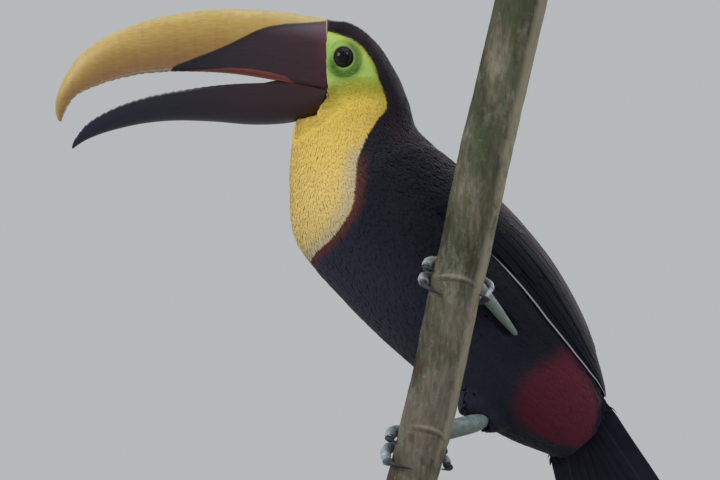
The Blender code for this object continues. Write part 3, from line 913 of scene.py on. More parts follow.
def growPlumes(name, roots, lie, length, width, lift, finish, slotName, ground, kind):
    stations, fullness, soften = vanes[kind]
    ringCount = len(stations) - 1
    # each vane turns a little its own way, and the whole coat sways gently
    swing = np.radians(dice.normal(0, 4, len(roots))) + 0.07 * np.sin(roots[:, 2] / 9) * np.cos(roots[:, 0] / 7)
    spots, ups, smoothly = followGround(roots, lie, length, swing, ground, stations)
    bent = ~smoothly
    if bent.any():
        # a shorter vane often fits where a long one would have to bend
        spots[bent], ups[bent], smoothly[bent] = followGround(
            roots[bent], lie[bent], length[bent] * shorter, swing[bent], ground, stations
        )
    spots, ups, roots, width, lift = (v[smoothly] for v in (spots, ups, roots, width, lift))
    count = len(roots)
    ahead = unit(np.gradient(spots, axis=1))
    side = unit(np.cross(ups, ahead))
    rise = -vaneSink + (lift[:, None, None] + vaneSink) * stations[None, :, None] ** 0.8
    middle = spots + ups * rise
    wide = (width[:, None] / 2 * fullness)[:, :, None]
    rings = np.stack([middle - side * wide, middle + ups * 0.2 * wide, middle + side * wide], axis=2)
    rings = np.concatenate([rings[:, :-1].reshape(count, -1, 3), middle[:, -1:]], axis=1)
    piece, corners = fromArrays(name, rings.reshape(-1, 3), vaneFaces(ringCount, count), finish)
    mesh = piece.data
    across = np.concatenate([np.tile([-1, 0, 1], ringCount), [0]])
    along = np.concatenate([np.repeat(stations[:-1], 3), [1]])
    place, turn = markVanes(mesh, roots, spots[:, -1], along, across, dice.random(count))
    # each vane's patch on the bake map lies where its root does on the unrolled coat
    low, high = place.min(), max(place.max(), place.min() + 0.1)
    home = np.column_stack([turn * 0.98 + 0.01, (place - low) / (high - low) * 0.98 + 0.01])
    patch = np.column_stack([across * 0.5, along - 0.5 + (across == 0) * 0.12]) * vanePatch
    bakeMap(mesh, np.repeat(home, len(along), axis=0) + np.tile(patch, (count, 1)), corners)
    over = unit(np.cross(ahead, side))
    lean = np.repeat(over[:, :-1], 3, axis=1)
    lean = lean + np.repeat(side[:, :-1], 3, axis=1) * (np.tile([-1, 0, 1], ringCount) * 0.22)[None, :, None]
    lean = unit(np.concatenate([lean, over[:, -1:]], axis=1)).reshape(-1, 3)
    easeNormals(mesh, lean, soften)
    print(name, count, "plumes")
    keep(piece, slotName)


coat = {
    "perSquare": 1.6,  # roots tried in each square millimetre
    "last": 13.35,  # the place where the coat ends on the tail's root
    "nearHeel": ([15, 32], [0.5, 1]),  # distance from a heel, and the share of the gap there
    "shortHeel": ([4, 14, 28], [0.45, 0.6, 1]),  # and the share of the length
    "steep": 0.85,  # lie against facing, above which a plume stands up too much
    "upright": 0.93,
    "ground": (1.3, 3),  # voxel and rounds of smoothing of the surface that it lies on
    # by place: gap between roots, length of a plume, its width as a share of its length
    "places": [0, 1.5, 3, 4.5, 6, 8, 11, 14],
    "gap": [0.8, 0.85, 0.95, 1.15, 1.4, 1.75, 1.95, 1.9],
    "length": [2.2, 3.0, 4.2, 6.0, 9, 12, 13.5, 12],
    "width": [0.32, 0.32, 0.3, 0.28, 0.27, 0.3, 0.33, 0.32],
    "bibGap": [0.75, 0.78, 0.82, 0.86, 0.92, 0.98, 1.0, 1.0],
    "bibLength": [2.8, 3.6, 5.0, 6.6, 8.0, 9.0, 9.0, 9.0],
}
wingBand = [
    # place, lower edge and upper edge in degrees round the body
    (6.75, 96, 112), (7.1, 84, 134), (7.5, 78, 143), (8, 74.5, 152), (8.6, 73, 160), (9.25, 71.5, 163),
    (9.83, 68.5, 166),
    (10.23, 67.2, 166), (10.67, 67, 164), (11.15, 68.8, 162), (11.66, 72.5, 158), (12.23, 80, 152),
    (12.63, 90, 144), (12.92, 100, 134), (13.1, 110, 125),
]


def bandAt(place):
    # middle and half width of the wing's band, in degrees round the body
    rows = np.array(wingBand)
    low, high = (np.interp(place, rows[:, 0], rows[:, k]) for k in (1, 2))
    return (low + high) / 2, (high - low) / 2


def wingShare(marks):
    # how far inside the wing's band a root lies: 1 on its middle, 0 on its edge
    middle, half = bandAt(marks["place"])
    share = 1 - np.abs(np.abs(marks["turn"]) - middle) / half
    return np.where((marks["place"] > wingBand[0][0]) & (marks["place"] < wingBand[-1][0]), share, -1)


def coatGround():
    # the surface that plumes lie on: the skin and the tail's root, eased into each other
    bm = joined(["tail"])
    bm.from_mesh(skin.data)
    under = toObject("ground", bm, Finish("ground"))
    blendFlesh(under, *coat["ground"])
    mesh = under.data
    found = meshTree(mesh)
    bpy.data.objects.remove(under)
    bpy.data.meshes.remove(mesh)
    bpy.data.materials.remove(bpy.data.materials["ground"])
    return found


def heelGaps(roots):
    # distance to the nearer heel
    return np.min([np.linalg.norm(roots - np.array(leg["heel"]), axis=1) for leg in legs.values()], axis=0)


def sunkUnder(mesh, roots):
    # how far the eased ground lies under the skin itself at each root
    tree = meshTree(mesh)[0]
    deep = np.zeros(len(roots))
    for i, root in enumerate(roots):
        spot, up, _, gap = tree.find_nearest(Vector(root))
        deep[i] = (spot - Vector(root)).dot(up) if gap < 1.5 else 0
    return np.clip(deep, 0, 1.2)


def makeCoat():
    tree, spots, corners = coatGround()
    roots = scatter(spots, corners, coat["perSquare"])
    marks = readMarks(roots)
    place, bib = marks["place"], marks["bib"]
    covered = (behindBill(roots) < -0.2) & (onHead(roots)[0] > jawAt(roots)[0] - 0.3)
    underWing = (wingShare(marks) > 0.12) & (place > 9.1)
    wanted = (marks["green"] < 1.2) & ~covered & ~underWing & (place < coat["last"])

    def byPlace(name):
        return np.interp(place, coat["places"], coat[name])

    gap = np.where(bib > 0, byPlace("bibGap"), byPlace("gap"))
    gap *= np.interp(heelGaps(roots), *coat["nearHeel"])
    roots, gap = roots[wanted], gap[wanted]
    roots = roots[thinned(roots, gap)]
    marks = readMarks(roots)
    lie, heelGap = marks["lie"], heelGaps(roots)
    facing = np.array([tuple(tree.find_nearest(Vector(root))[1]) for root in roots])
    # where the lie would stand straight up, on the ends of the thighs, the plumes hang down instead
    steep = np.abs((facing * lie).sum(axis=1)) > coat["steep"]
    lie = np.where((steep & (heelGap < 35))[:, None], unit(np.array([0.25, 0, -1])), lie)
    lying = np.abs((facing * lie).sum(axis=1)) < coat["upright"]
    roots, lie, heelGap = roots[lying], lie[lying], heelGap[lying]
    marks = {name: values[lying] for name, values in marks.items()}
    place, bib, left = marks["place"], marks["bib"], marks["turn"] > 0
    length = np.where(bib > 0, byPlace("bibLength"), byPlace("length"))
    shortened = np.where(wingShare(marks) > 0, 0.8, 1) * np.interp(heelGap, *coat["shortHeel"])
    length *= shortened * dice.uniform(0.85, 1.15, len(roots))
    length *= 1 - 0.4 * smooth(place, 12.2, 13) * smooth(np.abs(marks["turn"]), 60, 90)
    width = length * byPlace("width") * dice.uniform(0.9, 1.2, len(roots))
    width = np.where(bib > 0, np.clip(width * 1.15, 1.0, 1.9), width)
    lift = coatDepth(marks) * np.where(bib > 0, 0.5, 0.75) + 0.15 + dice.uniform(-0.06, 0.06, len(roots))
    lift += np.where(bib > 0, 0.3, 0.8) * (1 - smooth(nearBill(roots), 1, 7)) + sunkUnder(skin.data, roots)
    finish = plumageFinish()
    black, front = bib <= 0, place < 9
    groups = {
        "face_plumes": ("fine", ~black & (place < 4.2)),
        "left_bib_plumes": ("fine", ~black & (place >= 4.2) & left),
        "right_bib_plumes": ("fine", ~black & (place >= 4.2) & ~left),
        "crown_plumes": ("fine", black & (place < 5)),
        "left_breast_plumes": ("full", black & (place >= 5) & front & left),
        "right_breast_plumes": ("full", black & (place >= 5) & front & ~left),
        "left_belly_plumes": ("full", ~front & left),
        "right_belly_plumes": ("full", ~front & ~left),
    }
    for name, (kind, own) in groups.items():
        slotName = "yellow_bib" if "bib" in name or "face" in name else "black_plumage"
        growPlumes(name, roots[own], lie[own], length[own], width[own], lift[own], finish, slotName, tree, kind)


print("coat")
makeCoat()


# Quills: long blades laid side by side like shingles on the folded wings and the tail.
trunkRings = [
    # x, z, tilt, depth, width, roll, from place 6 on
    (-37.5, 298.0, 23, 50.0, 40.0, 6),
    (-33.0, 278.0, 41, 60.0, 50.0, 20),
    (-6.5, 249.5, 41, 62.0, 58.0, 34),
    (23.5, 220.0, 41, 63.0, 60.0, 45),
    (52.0, 190.0, 41, 58.0, 58.0, 50),
    (75.0, 162.5, 41, 51.5, 51.5, 53),
    (94.0, 138.5, 41, 41.5, 42.0, 55),
    (110.5, 119.0, 41, 27.0, 29.0, 57),
    (117.0, 106.0, 41, 14.0, 18.0, 57),
]
wingRows = [
    # count, root place, tip place and its step, height in the band (-1 to 1) at the root and at the tip
    # for the first and for the last of the row, half width, layer
    ("primaries", 9, 8.9, 13.0, -0.22, (-1, -1), (0.15, 0.35), 6.4, 0.0),
    ("secondaries", 8, 8.8, 12.1, -0.09, (-0.42, -0.5), (0.72, 0.8), 7.4, 0.3),
    ("tertials", 4, 8.7, 11.6, -0.3, (0.42, 0.34), (0.9, 0.9), 8.4, 0.6),
    ("greater_coverts", 13, 8.4, 10.3, 0.0, (-0.93, -0.95), (0.92, 0.94), 6.4, 0.75),
    ("median_coverts", 15, 8.0, 9.5, 0.0, (-0.93, -0.93), (0.95, 0.95), 5.2, 0.95),
]
tailPlan = {
    "root": (113.5, 122.0),
    "aim": (0.39, -0.921),
    "roll": 62,
    "bow": 4.0,
    "count": 10,
    "half": 9.4,
    "length": 97.5,
    "hidden": 17,  # length of a quill inside the body
}
shaftAt = 0.28  # how far a quill's shaft lies to the leading side, in half widths


wingShape = {"slant": 0.1, "camber": 0.12, "shaft": 0.05, "sunk": 1.6}
tailShape = {
    "slant": -0.25, "camber": 0.35, "shaft": 0.18, "sunk": 0.0, "ease": 0.0, "rim": 0,
    "turn": lambda s: 0, "inward": lambda s: 0,
}


def ringAxes(tilt, roll):
    # directions to the belly and to the left in a plane across the body
    back, near = Vector((cos(radians(tilt)), 0, sin(radians(tilt)))), Vector((0, -1, 0))
    roll = radians(roll)
    return -cos(roll) * back + sin(roll) * near, sin(roll) * back + cos(roll) * near


def bodyPoint(place, angle, out, sign):
    # a point off the trunk at a place and an angle round it, on the left (1) or the right (-1)
    x, z, tilt, depth, width, roll = between(trunkRings, place - 6)
    belly, left = ringAxes(tilt, roll)
    turn = radians(angle)
    return Vector((x, midY, z)) + belly * (depth + out) * cos(turn) + left * sign * (width + out) * sin(turn)


def quillHeight(quill, number, s, v, under):
    # how far a quill's surface stands off, along its length (s) and across it (v)
    shaft = quill["shaft"] * bell((v + shaftAt) / 0.05) * (1 - 0.7 * s)
    barb = 0.02 * sin(s * 260 + abs(v + shaftAt) * 14 + number)
    grown = float(smooth(s, -0.02, 0.35))
    thin = 1 - quill["ease"] * float(smooth(s, 0.6, 1))
    out = quill["layer"] * grown * thin - quill["sunk"] * (1 - grown)
    out = out - quill["slant"] * v + quill["camber"] * (1 - v * v) + shaft + barb
    return out - under * 0.3 * (1.05 - abs(v) ** 3)


def layQuills(name, quills, finish, *nodes):
    # A quill is a dict: at(s, across in mm, out) gives a point, half is its half width, layer its lift,
    # slant how far its near edge stands above its far one, ease how much its tip settles, inward its
    # shift in half widths and rim the leading edge painted pale, a painted highlight.
    across = np.array([-1, -0.8, -0.5, -0.34, -0.28, -0.22, 0.1, 0.5, 0.85, 1])
    stations = np.concatenate([np.linspace(0, 0.84, 22), 1 - 0.16 * (1 - np.linspace(0, 1, 11)[1:]) ** 1.6])
    verts, quads, spots, ups, marks = [], [], [], [], []
    ring = len(across) * 2
    for number, quill in enumerate(quills):
        first, shade = len(verts), float(dice.random())
        for s in stations:
            taper = sqrt(max(0.0, 1 - (max(0, s - 0.82) / 0.18) ** 2.2)) if s < 1 else 0.03
            half = quill["half"] * max(0.06, taper) * (0.6 + 0.4 * float(smooth(s, 0, 0.25)))
            for under in (0, 1):
                for v in across[::-1] if under else across:
                    wide = (v + quill["inward"](s)) * half
                    verts.append(quill["at"](s, wide, quillHeight(quill, number, s, v, under)))
                    lifted = quill["at"](s, wide, 1) - quill["at"](s, wide, 0)
                    ups.append(lifted.normalized() * (-1 if under else 1))
                    marks.append((s, v, shade, quill["rim"], quill["turn"](s)))
                    column = (number + 0.03 + 0.46 * under + 0.21 * (v + 1)) / len(quills)
                    spots.append((column, 0.01 + 0.98 * s))
        for k in range(len(stations) - 1):
            for a in range(ring):
                b = (a + 1) % ring
                low, high = first + k * ring, first + (k + 1) * ring
                quads.append((low + a, low + b, high + b, high + a))
    piece, corners = fromArrays(name, np.array([tuple(v) for v in verts]), [np.array(quads)], finish)
    bakeMap(piece.data, np.array(spots), corners)
    writeFloats(piece.data, dict(zip(("along", "across", "shade", "rim", "turn"), zip(*marks))))
    bm = bmesh.new()
    bm.from_mesh(piece.data)
    bmesh.ops.recalc_face_normals(bm, faces=bm.faces)
    bm.to_mesh(piece.data)
    bm.free()
    easeNormals(piece.data, np.array([tuple(up) for up in ups]), 0.6)
    keep(piece, "black_plumage", *nodes)


def quillFinish(name, dark, mottleAndSheenTone, shaftTone, paintedSheenFrom=None):
    f = Finish(name, SpecularIorLevel=0.04)
    along, across, shade, rim, turn = (f.mark(n) for n in ("along", "across", "shade", "rim", "turn"))
    far = f.sums("ABSOLUTE", across + shaftAt)
    barbs = f.sums("SINE", along * 420 + far * 26)
    cloud = f.grain(f.at(), 120, 3)
    # a lighter tone mixed in clouds; on the wings it is kept to the back edge, where it is a painted maroon
    # sheen
    mottleAndPaintedSheen = f.step(cloud, 0.25, 0.75) * 0.4 + shade * 0.15 + 0.3
    if paintedSheenFrom:
        mottleAndPaintedSheen = mottleAndPaintedSheen * f.step(turn, *paintedSheenFrom)
    colour = f.blend(mottleAndPaintedSheen, dark, mottleAndSheenTone)
    colour = f.blend(f.step(barbs, 0.2, 1.0) * 0.12, colour, tone(50, 46, 56))
    colour = f.blend((1 - f.step(far, 0.02, 0.06)) * 0.4, colour, shaftTone)
    # the first primary's leading edge painted pale: a painted highlight
    edge = rim * (1 - f.step(across, -0.9, -0.76)) * f.step(along, 0.05, 0.2)
    colour = f.blend(edge, colour, tone(164, 160, 170))
    f.paint(BaseColor=colour, Roughness=0.55 + cloud * 0.2)
    return f.raised(barbs * 0.3, 0.00006, 0.4)


def wingQuills(sign):
    quills = []
    for row, count, rootPlace, tipPlace, tipStep, firstEnd, lastEnd, half, layer in wingRows:
        covert = row.endswith("coverts")
        for k in range(count):
            t = k / (count - 1)
            heights = [firstEnd[end] + (lastEnd[end] - firstEnd[end]) * t for end in (0, 1)]
            last = tipPlace + tipStep * k
            if covert:
                last -= 0.5 * abs(2 * t - 1) ** 2 - 0.16 * (k % 2) - 0.1 * float(dice.random())

            def track(s, heights=heights, start=rootPlace, end=last):
                # place, height in the band and angle round the body, this far along the quill
                place = start + (end - start) * s
                middle, half = bandAt(place)
                height = heights[0] + (heights[1] - heights[0]) * s
                return place, height, float(middle + half * height)

            def at(s, across, out, track=track):
                place, height, angle = track(s)
                depth, width = between(trunkRings, place - 6)[3:5]
                angle += across / ((depth + width) / 2) * 57.3
                full = sqrt(max(0.0, 1 - min(1, abs(height)) ** 3))
                return bodyPoint(place, angle, min(0.15 + 0.6 * full + out, 3.2), sign)

            quill = {"at": at, "half": half, "layer": layer + 0.03 * k, "ease": 0.55 if covert else 0.0}
            # the first primary carries the painted highlight on its leading edge
            quill.update(wingShape, rim=float(row == "primaries" and k == 0))
            quill["turn"] = lambda s, track=track: track(s)[2]
            quill["inward"] = lambda s, track=track: -track(s)[1]
            quills.append(quill)
    return quills


def tailQuills():
    aim = Vector((tailPlan["aim"][0], 0, tailPlan["aim"][1])).normalized()
    belly, left = ringAxes(np.degrees(atan2(aim.x, -aim.z)), tailPlan["roll"])
    root = Vector((tailPlan["root"][0], midY, tailPlan["root"][1]))
    hidden = tailPlan["hidden"]
    quills = []
    for k in range(tailPlan["count"]):
        rank = k - (tailPlan["count"] - 1) / 2
        length = tailPlan["length"] - 0.55 * abs(rank) ** 2

        def at(s, across, out, rank=rank, length=length):
            along = -hidden + (length + hidden) * s
            hand = 1 if rank > 0 else -1
            wide = rank * (3.6 + 3.5 * float(smooth(along, -20, 95))) + across * hand
            bow = tailPlan["bow"] * max(0, 1 - (wide / 40) ** 2) * along / 100
            return root + aim * along + left * wide - belly * (bow + out - 1.6)

        quills.append(dict(tailShape, at=at, half=tailPlan["half"], layer=1.4 - 0.42 * abs(rank)))
    return quills


print("quills")
# the wings' maroon along the back edge is painted sheen
wingFinish = quillFinish("wingQuill", tone(17, 19, 28), tone(74, 50, 64), tone(30, 28, 38), (96, 142))
tailFinish = quillFinish("tailQuill", tone(27, 29, 39), tone(40, 41, 52), tone(66, 66, 74))
for side, sign in (("left", 1), ("right", -1)):
    layQuills(side + "_wing_quills", wingQuills(sign), wingFinish)
layQuills("tail_quills", tailQuills(), tailFinish, "tail")


# Eyes: a dark ball with a bulging cornea, and a swollen rim of bare skin round it.
eyePlan = {"pupil": 3.7, "iris": 6.3, "bulge": 0.05, "rimOut": 7.25, "rimThick": 0.5, "rimRise": 0.3}


def eyeFinish():
    f = Finish("eye", Roughness=0.04, SpecularIorLevel=0.22)
    far = f.mark("iris")
    rays = f.grain(f.at(), 1800, 2)
    ring = f.blend(rays, tone(13, 13, 19), tone(30, 27, 34))
    colour = f.blend(f.step(far, eyePlan["pupil"] - 0.2, eyePlan["pupil"] + 0.25), tone(5, 5, 8), ring)
    colour = f.blend(f.step(far, eyePlan["iris"] - 0.7, eyePlan["iris"] + 0.2), colour, tone(9, 9, 12))
    return f.paint(BaseColor=colour)


def rimFinish():
    f = Finish("eyeRim", Roughness=0.4, SpecularIorLevel=0.5)
    beads = f.cells(f.at(), 1700)
    f.paint(BaseColor=f.blend(beads, tone(78, 104, 48), tone(122, 150, 84)), Roughness=0.35 + beads * 0.3)
    return f.raised(beads, 0.0002, 0.6)


def makeEyes():
    ball, rim = eyeFinish(), rimFinish()
    for side, middle in eyeMiddle.items():
        axis = Vector(aroundEye(np.zeros((1, 3)), side)[3])
        turn = Vector((0, 0, 1)).rotation_difference(axis).to_matrix()
        bm = bmesh.new()
        bmesh.ops.create_uvsphere(bm, u_segments=56, v_segments=40, radius=eyeRadius * mm)
        iris = bm.verts.layers.float.new("iris")
        for vert in bm.verts:
            out = vert.co.normalized().z
            vert[iris] = eyeRadius * sqrt(max(0, 1 - out * out)) if out > 0 else eyeRadius
            vert.co *= 1 + eyePlan["bulge"] * float(smooth(out, 0.8, 1.0))
        keep(toObject(side + "_eyeball", placed(bm, turn, middle), ball), "eye", side + "_eye")

        bm = bmesh.new()
        out, thick = eyePlan["rimOut"], eyePlan["rimThick"]
        bmesh.ops.create_circle(bm, segments=14, radius=thick * mm)
        placed(bm, Matrix.Rotation(pi / 2, 3, "X"), (out, 0, sqrt(eyeRadius**2 - out**2) + eyePlan["rimRise"]))
        bmesh.ops.spin(bm, geom=bm.edges[:], axis=(0, 0, 1), angle=2 * pi, steps=96, use_merge=True)
        bmesh.ops.recalc_face_normals(bm, faces=bm.faces)
        for vert in bm.verts:
            # the rim is a little wavy and wider than it is high
            angle = atan2(vert.co.y, vert.co.x)
            vert.co.z += (0.06 * sin(angle * 17) + 0.05 * sin(angle * 31 + 1)) * mm
            vert.co.x *= 0.97
            vert.co.y *= 1.03
        keep(toObject(side + "_eye_rim", placed(bm, turn, middle), rim), "green_face")


print("eyes")
makeEyes()


def onBill(rings, outline):
    # signed distance of every ring point to one of the bill's outlines
    points = np.array([[tuple(p) for p in ring] for ring in rings])
    flat = points.reshape(-1, 3)
    return inside(np.column_stack([flat[:, 0], onHead(flat)[0]]), billPlan[outline]).reshape(points.shape[:2])


def hornLook(f, colour, gloss=0.3):
    # keratin: faint grain along the bill, growth bands across it, fine scratches
    long = f.grain(f.at((0.12, 1, 1)), 900, 4, 0.6)
    band = f.grain(f.at((1, 0.2, 0.2)), 260, 3)
    scratch = f.step(f.grain(f.at((0.3, 1, 1.2), (0, 0.5, 0.2)), 2300, 2), 0.62, 0.7)
    streak = f.ramp(long, [(0.3, (0.86,) * 3), (0.7, (1.1,) * 3)])
    colour = f.blend(1.0, colour, streak, "MULTIPLY")
    colour = f.blend(f.step(band, 0.45, 0.75) * 0.16, colour, f.blend(0.6, colour, (0.02, 0.015, 0.01)))
    f.paint(BaseColor=colour, Roughness=gloss + long * 0.16 + scratch * 0.14)
    return f.raised(long * 0.5 + band * 0.6 - scratch * 0.3, 0.00012, 0.6)


def upperFinish():
    f = Finish("upperBill", SpecularIorLevel=0.28, CoatWeight=0.06, CoatRoughness=0.2)
    rise, wedge, line, fold = f.mark("rise"), f.mark("wedge"), f.mark("line"), f.mark("lining")
    cloud = f.grain(f.at((0.4, 1, 1)), 60, 3)
    # brown at the cutting edge to golden on the ridge, the bill's own colours; the palest stop along the ridge
    # is a painted highlight
    gold = f.ramp(
        rise + (cloud - 0.5) * 0.25,
        [
            (0.0, tone(140, 106, 80)),
            (0.2, tone(132, 100, 62)),
            (0.5, tone(150, 118, 62)),
            (0.85, tone(178, 150, 84)),
            (1.0, tone(190, 170, 118)),
        ],
    )
    gold = f.blend(f.step(line, 5.5, 8.4) * 0.35, gold, tone(150, 112, 78))
    gold = f.blend((1 - f.step(rise, 0.015, 0.07)) * f.step(line, 2.4, 3.4), gold, tone(196, 172, 140))
    deep = f.ramp(
        line / 3.6,
        [(0.0, tone(62, 34, 42)), (0.3, tone(50, 34, 42)), (0.55, tone(38, 31, 40)), (0.8, tone(24, 24, 32))],
    )
    # a lilac-grey patch on the top of the dark wedge near the base: a painted sky reflection
    deep = f.blend(f.step(rise, 0.6, 0.92) * (1 - f.step(line, 0.3, 2.2)) * 0.7, deep, tone(110, 92, 104))
    deep = f.blend((1 - f.step(line, 0.05, 0.4)) * f.step(rise, 0.2, 0.6) * 0.4, deep, tone(96, 50, 60))
    deep = f.blend((1 - f.step(wedge, 0.4, 4.5)) * 0.6, deep, tone(26, 22, 28))
    colour = f.blend(f.step(wedge + (cloud - 0.5) * 2.0, -0.6, 0.7), gold, deep)
    lining = f.blend(cloud, tone(96, 42, 46), tone(116, 58, 58))
    colour = f.blend(f.step(fold, -0.3, 0.3) * f.step(line, 0.75, 0.9), colour, lining)
    border = f.step(fold, -0.7, 0.0) * (1 - f.step(fold, 0.1, 0.9)) * f.step(line, 0.75, 0.95)
    colour = f.blend(border * 0.5, colour, tone(140, 76, 78))
    inner = (1 - f.step(rise, -0.2, -0.02)) * (1 - f.step(line, 3.2, 4.6))
    colour = f.blend(inner, colour, f.blend(0.5, lining, tone(70, 30, 36)))
    lip = (1 - f.step(rise, 0.008, 0.03)) * f.step(line, 0.75, 1.0) * (1 - f.step(line, 2.6, 3.2))
    colour = f.blend(lip * 0.6, colour, tone(166, 106, 90))
    # the line round the base: dark at the sides, pale over the ridge, black where it runs under the skin
    colour = f.blend((1 - f.step(line, 0.0, 0.025)) * (1 - f.step(rise, 0.6, 0.8)), colour, tone(26, 22, 26))
    colour = f.blend((1 - f.step(line, 0.0, 0.03)) * f.step(rise, 0.66, 0.85), colour, tone(172, 164, 134))
    colour = f.blend(1 - f.step(line, -0.045, -0.02), colour, tone(16, 14, 16))
    return hornLook(f, colour)


def lowerFinish():
    f = Finish("lowerBill", SpecularIorLevel=0.25, CoatWeight=0.05, CoatRoughness=0.25)
    rise, line = f.mark("rise"), f.mark("line")
    cloud = f.grain(f.at((0.4, 1, 1)), 60, 3)
    deep = f.ramp(
        (line + (cloud - 0.5) * 1.2) / 9,
        [(0.0, tone(56, 34, 41)), (0.2, tone(48, 33, 41)), (0.42, tone(34, 32, 45)), (0.8, tone(26, 33, 50))],
    )
    deep = f.blend(f.step(rise, 0.5, 0.98) * 0.2, deep, tone(60, 62, 84))
    pale = (1 - f.step(rise, 0.02, 0.07)) * f.step(line, 3.0, 4.0) * (1 - f.step(line, 7.4, 8.4))
    deep = f.blend(pale * 0.75, deep, tone(140, 132, 132))
    lining = f.blend(cloud, tone(104, 40, 44), tone(126, 60, 56))
    deep = f.blend((1 - f.step(rise, -0.2, -0.02)) * (1 - f.step(line, 3.2, 4.6)), deep, lining)
    lip = (1 - f.step(rise, 0.01, 0.04)) * f.step(line, 0.25, 0.5) * (1 - f.step(line, 0.9, 1.2))
    deep = f.blend(lip * 0.7, deep, tone(128, 62, 60))
    deep = f.blend(1 - f.step(line, -0.045, -0.02), deep, tone(16, 14, 16))
    return hornLook(f, deep, 0.34)


def makeBill():
    for name, ribs, arched, finish, slotName in (
        ("upper_bill", upperRibs, True, upperFinish(), "yellow_bill"),
        ("lower_bill", lowerRibs, False, lowerFinish(), "maroon_bill"),
    ):
        rings, rises, lines = billShape(ribs, arched)
        marks = {"rise": rises, "line": lines}
        marks.update({key: onBill(rings, key) for key in ("wedge", "lining")})
        keep(toObject(name + "_horn", loft(rings, marks), finish), slotName, name)


def makeMouth():
    # the fold of skin at the gape, between the jaws' edges from their bases to the corner of the mouth
    f = Finish("mouthLining", SpecularIorLevel=0.3)
    cloud = f.grain(f.at(), 220, 4)
    colour = f.ramp(cloud, [(0.3, tone(84, 36, 42)), (0.7, tone(128, 62, 62))])
    f.paint(BaseColor=colour, Roughness=0.42 + cloud * 0.2)
    f.raised(cloud, 0.0003, 0.6)
    across = headPoint(0, headAxis, 1) - headPoint(0, headAxis)
    rings = []
    for x, low, high, wide in billPlan["mouth"]:
        bottom, top = headPoint(x, low), headPoint(x, high)
        middle, half = (bottom + top) / 2, (top - bottom) / 2
        rings.append([middle + across * wide * cos(a) + half * sin(a) for a in around(40)])
    keep(toObject("mouth_lining", loft(rings), f), "maroon_bill")


print("bill")
makeBill()
makeMouth()


# Perch: centre line from the cut foot to the cut top, with the radius at each point.
perchRows = [
    (-5.0, -50.0, 66.0, 15.8),
    (-0.6, -51.0, 83.5, 15.6),
    (5.0, -52.5, 103.0, 15.7),
    (7.0, -53.2, 111.0, 16.4),
    (12.2, -54.6, 131.0, 16.2),
    (18.3, -56.8, 158.5, 16.1),
    (25.8, -59.6, 196.8, 16.4),
    (27.6, -60.4, 206.0, 16.7),
    (33.2, -62.0, 226.8, 16.3),
    (46.8, -66.8, 292.0, 16.8),
    (54.5, -69.2, 324.7, 16.3),
    (70.7, -74.4, 394.0, 16.5),
]


def perchAt(height):
    i = max([0] + [k for k in range(len(perchRows) - 1) if perchRows[k][2] <= height])
    low, high = Vector(perchRows[i]), Vector(perchRows[i + 1])
    row = low.lerp(high, (height - low[2]) / (high[2] - low[2]))
    return row.to_3d(), row[3]


def roundPerch(height, angle, out):
    # the point at an angle round the perch, this far off its bark
    centre, radius = perchAt(height)
    up = (perchAt(height + 18)[0] - perchAt(height - 18)[0]).normalized()
    right = Vector((0, 1, 0)).cross(up).normalized()
    turn = radians(angle)
    return centre + (right * cos(turn) + up.cross(right) * sin(turn)) * (radius + out)


perchPlan = {
    "sides": 96,
    "every": 1.0,
    "knots": (206.0, 111.0),  # heights of the two rings
    "relief": 0.55,
    "over": 0.9,  # the most that bark may stand over the radius
    "ends": (0.06, 0.35, 0.65, 0.9, 0.96),  # rings across each sawn end, as shares of its radius
    # the paler flank is a painted highlight down one side of the stem
    "paintedRimLightAt": radians(334),  # where the paler flank faces
}


def perchAxis(index):
    # the way that one stretch of the centre line runs
    return (Vector(perchRows[index + 1][:3]) - Vector(perchRows[index][:3])).normalized()


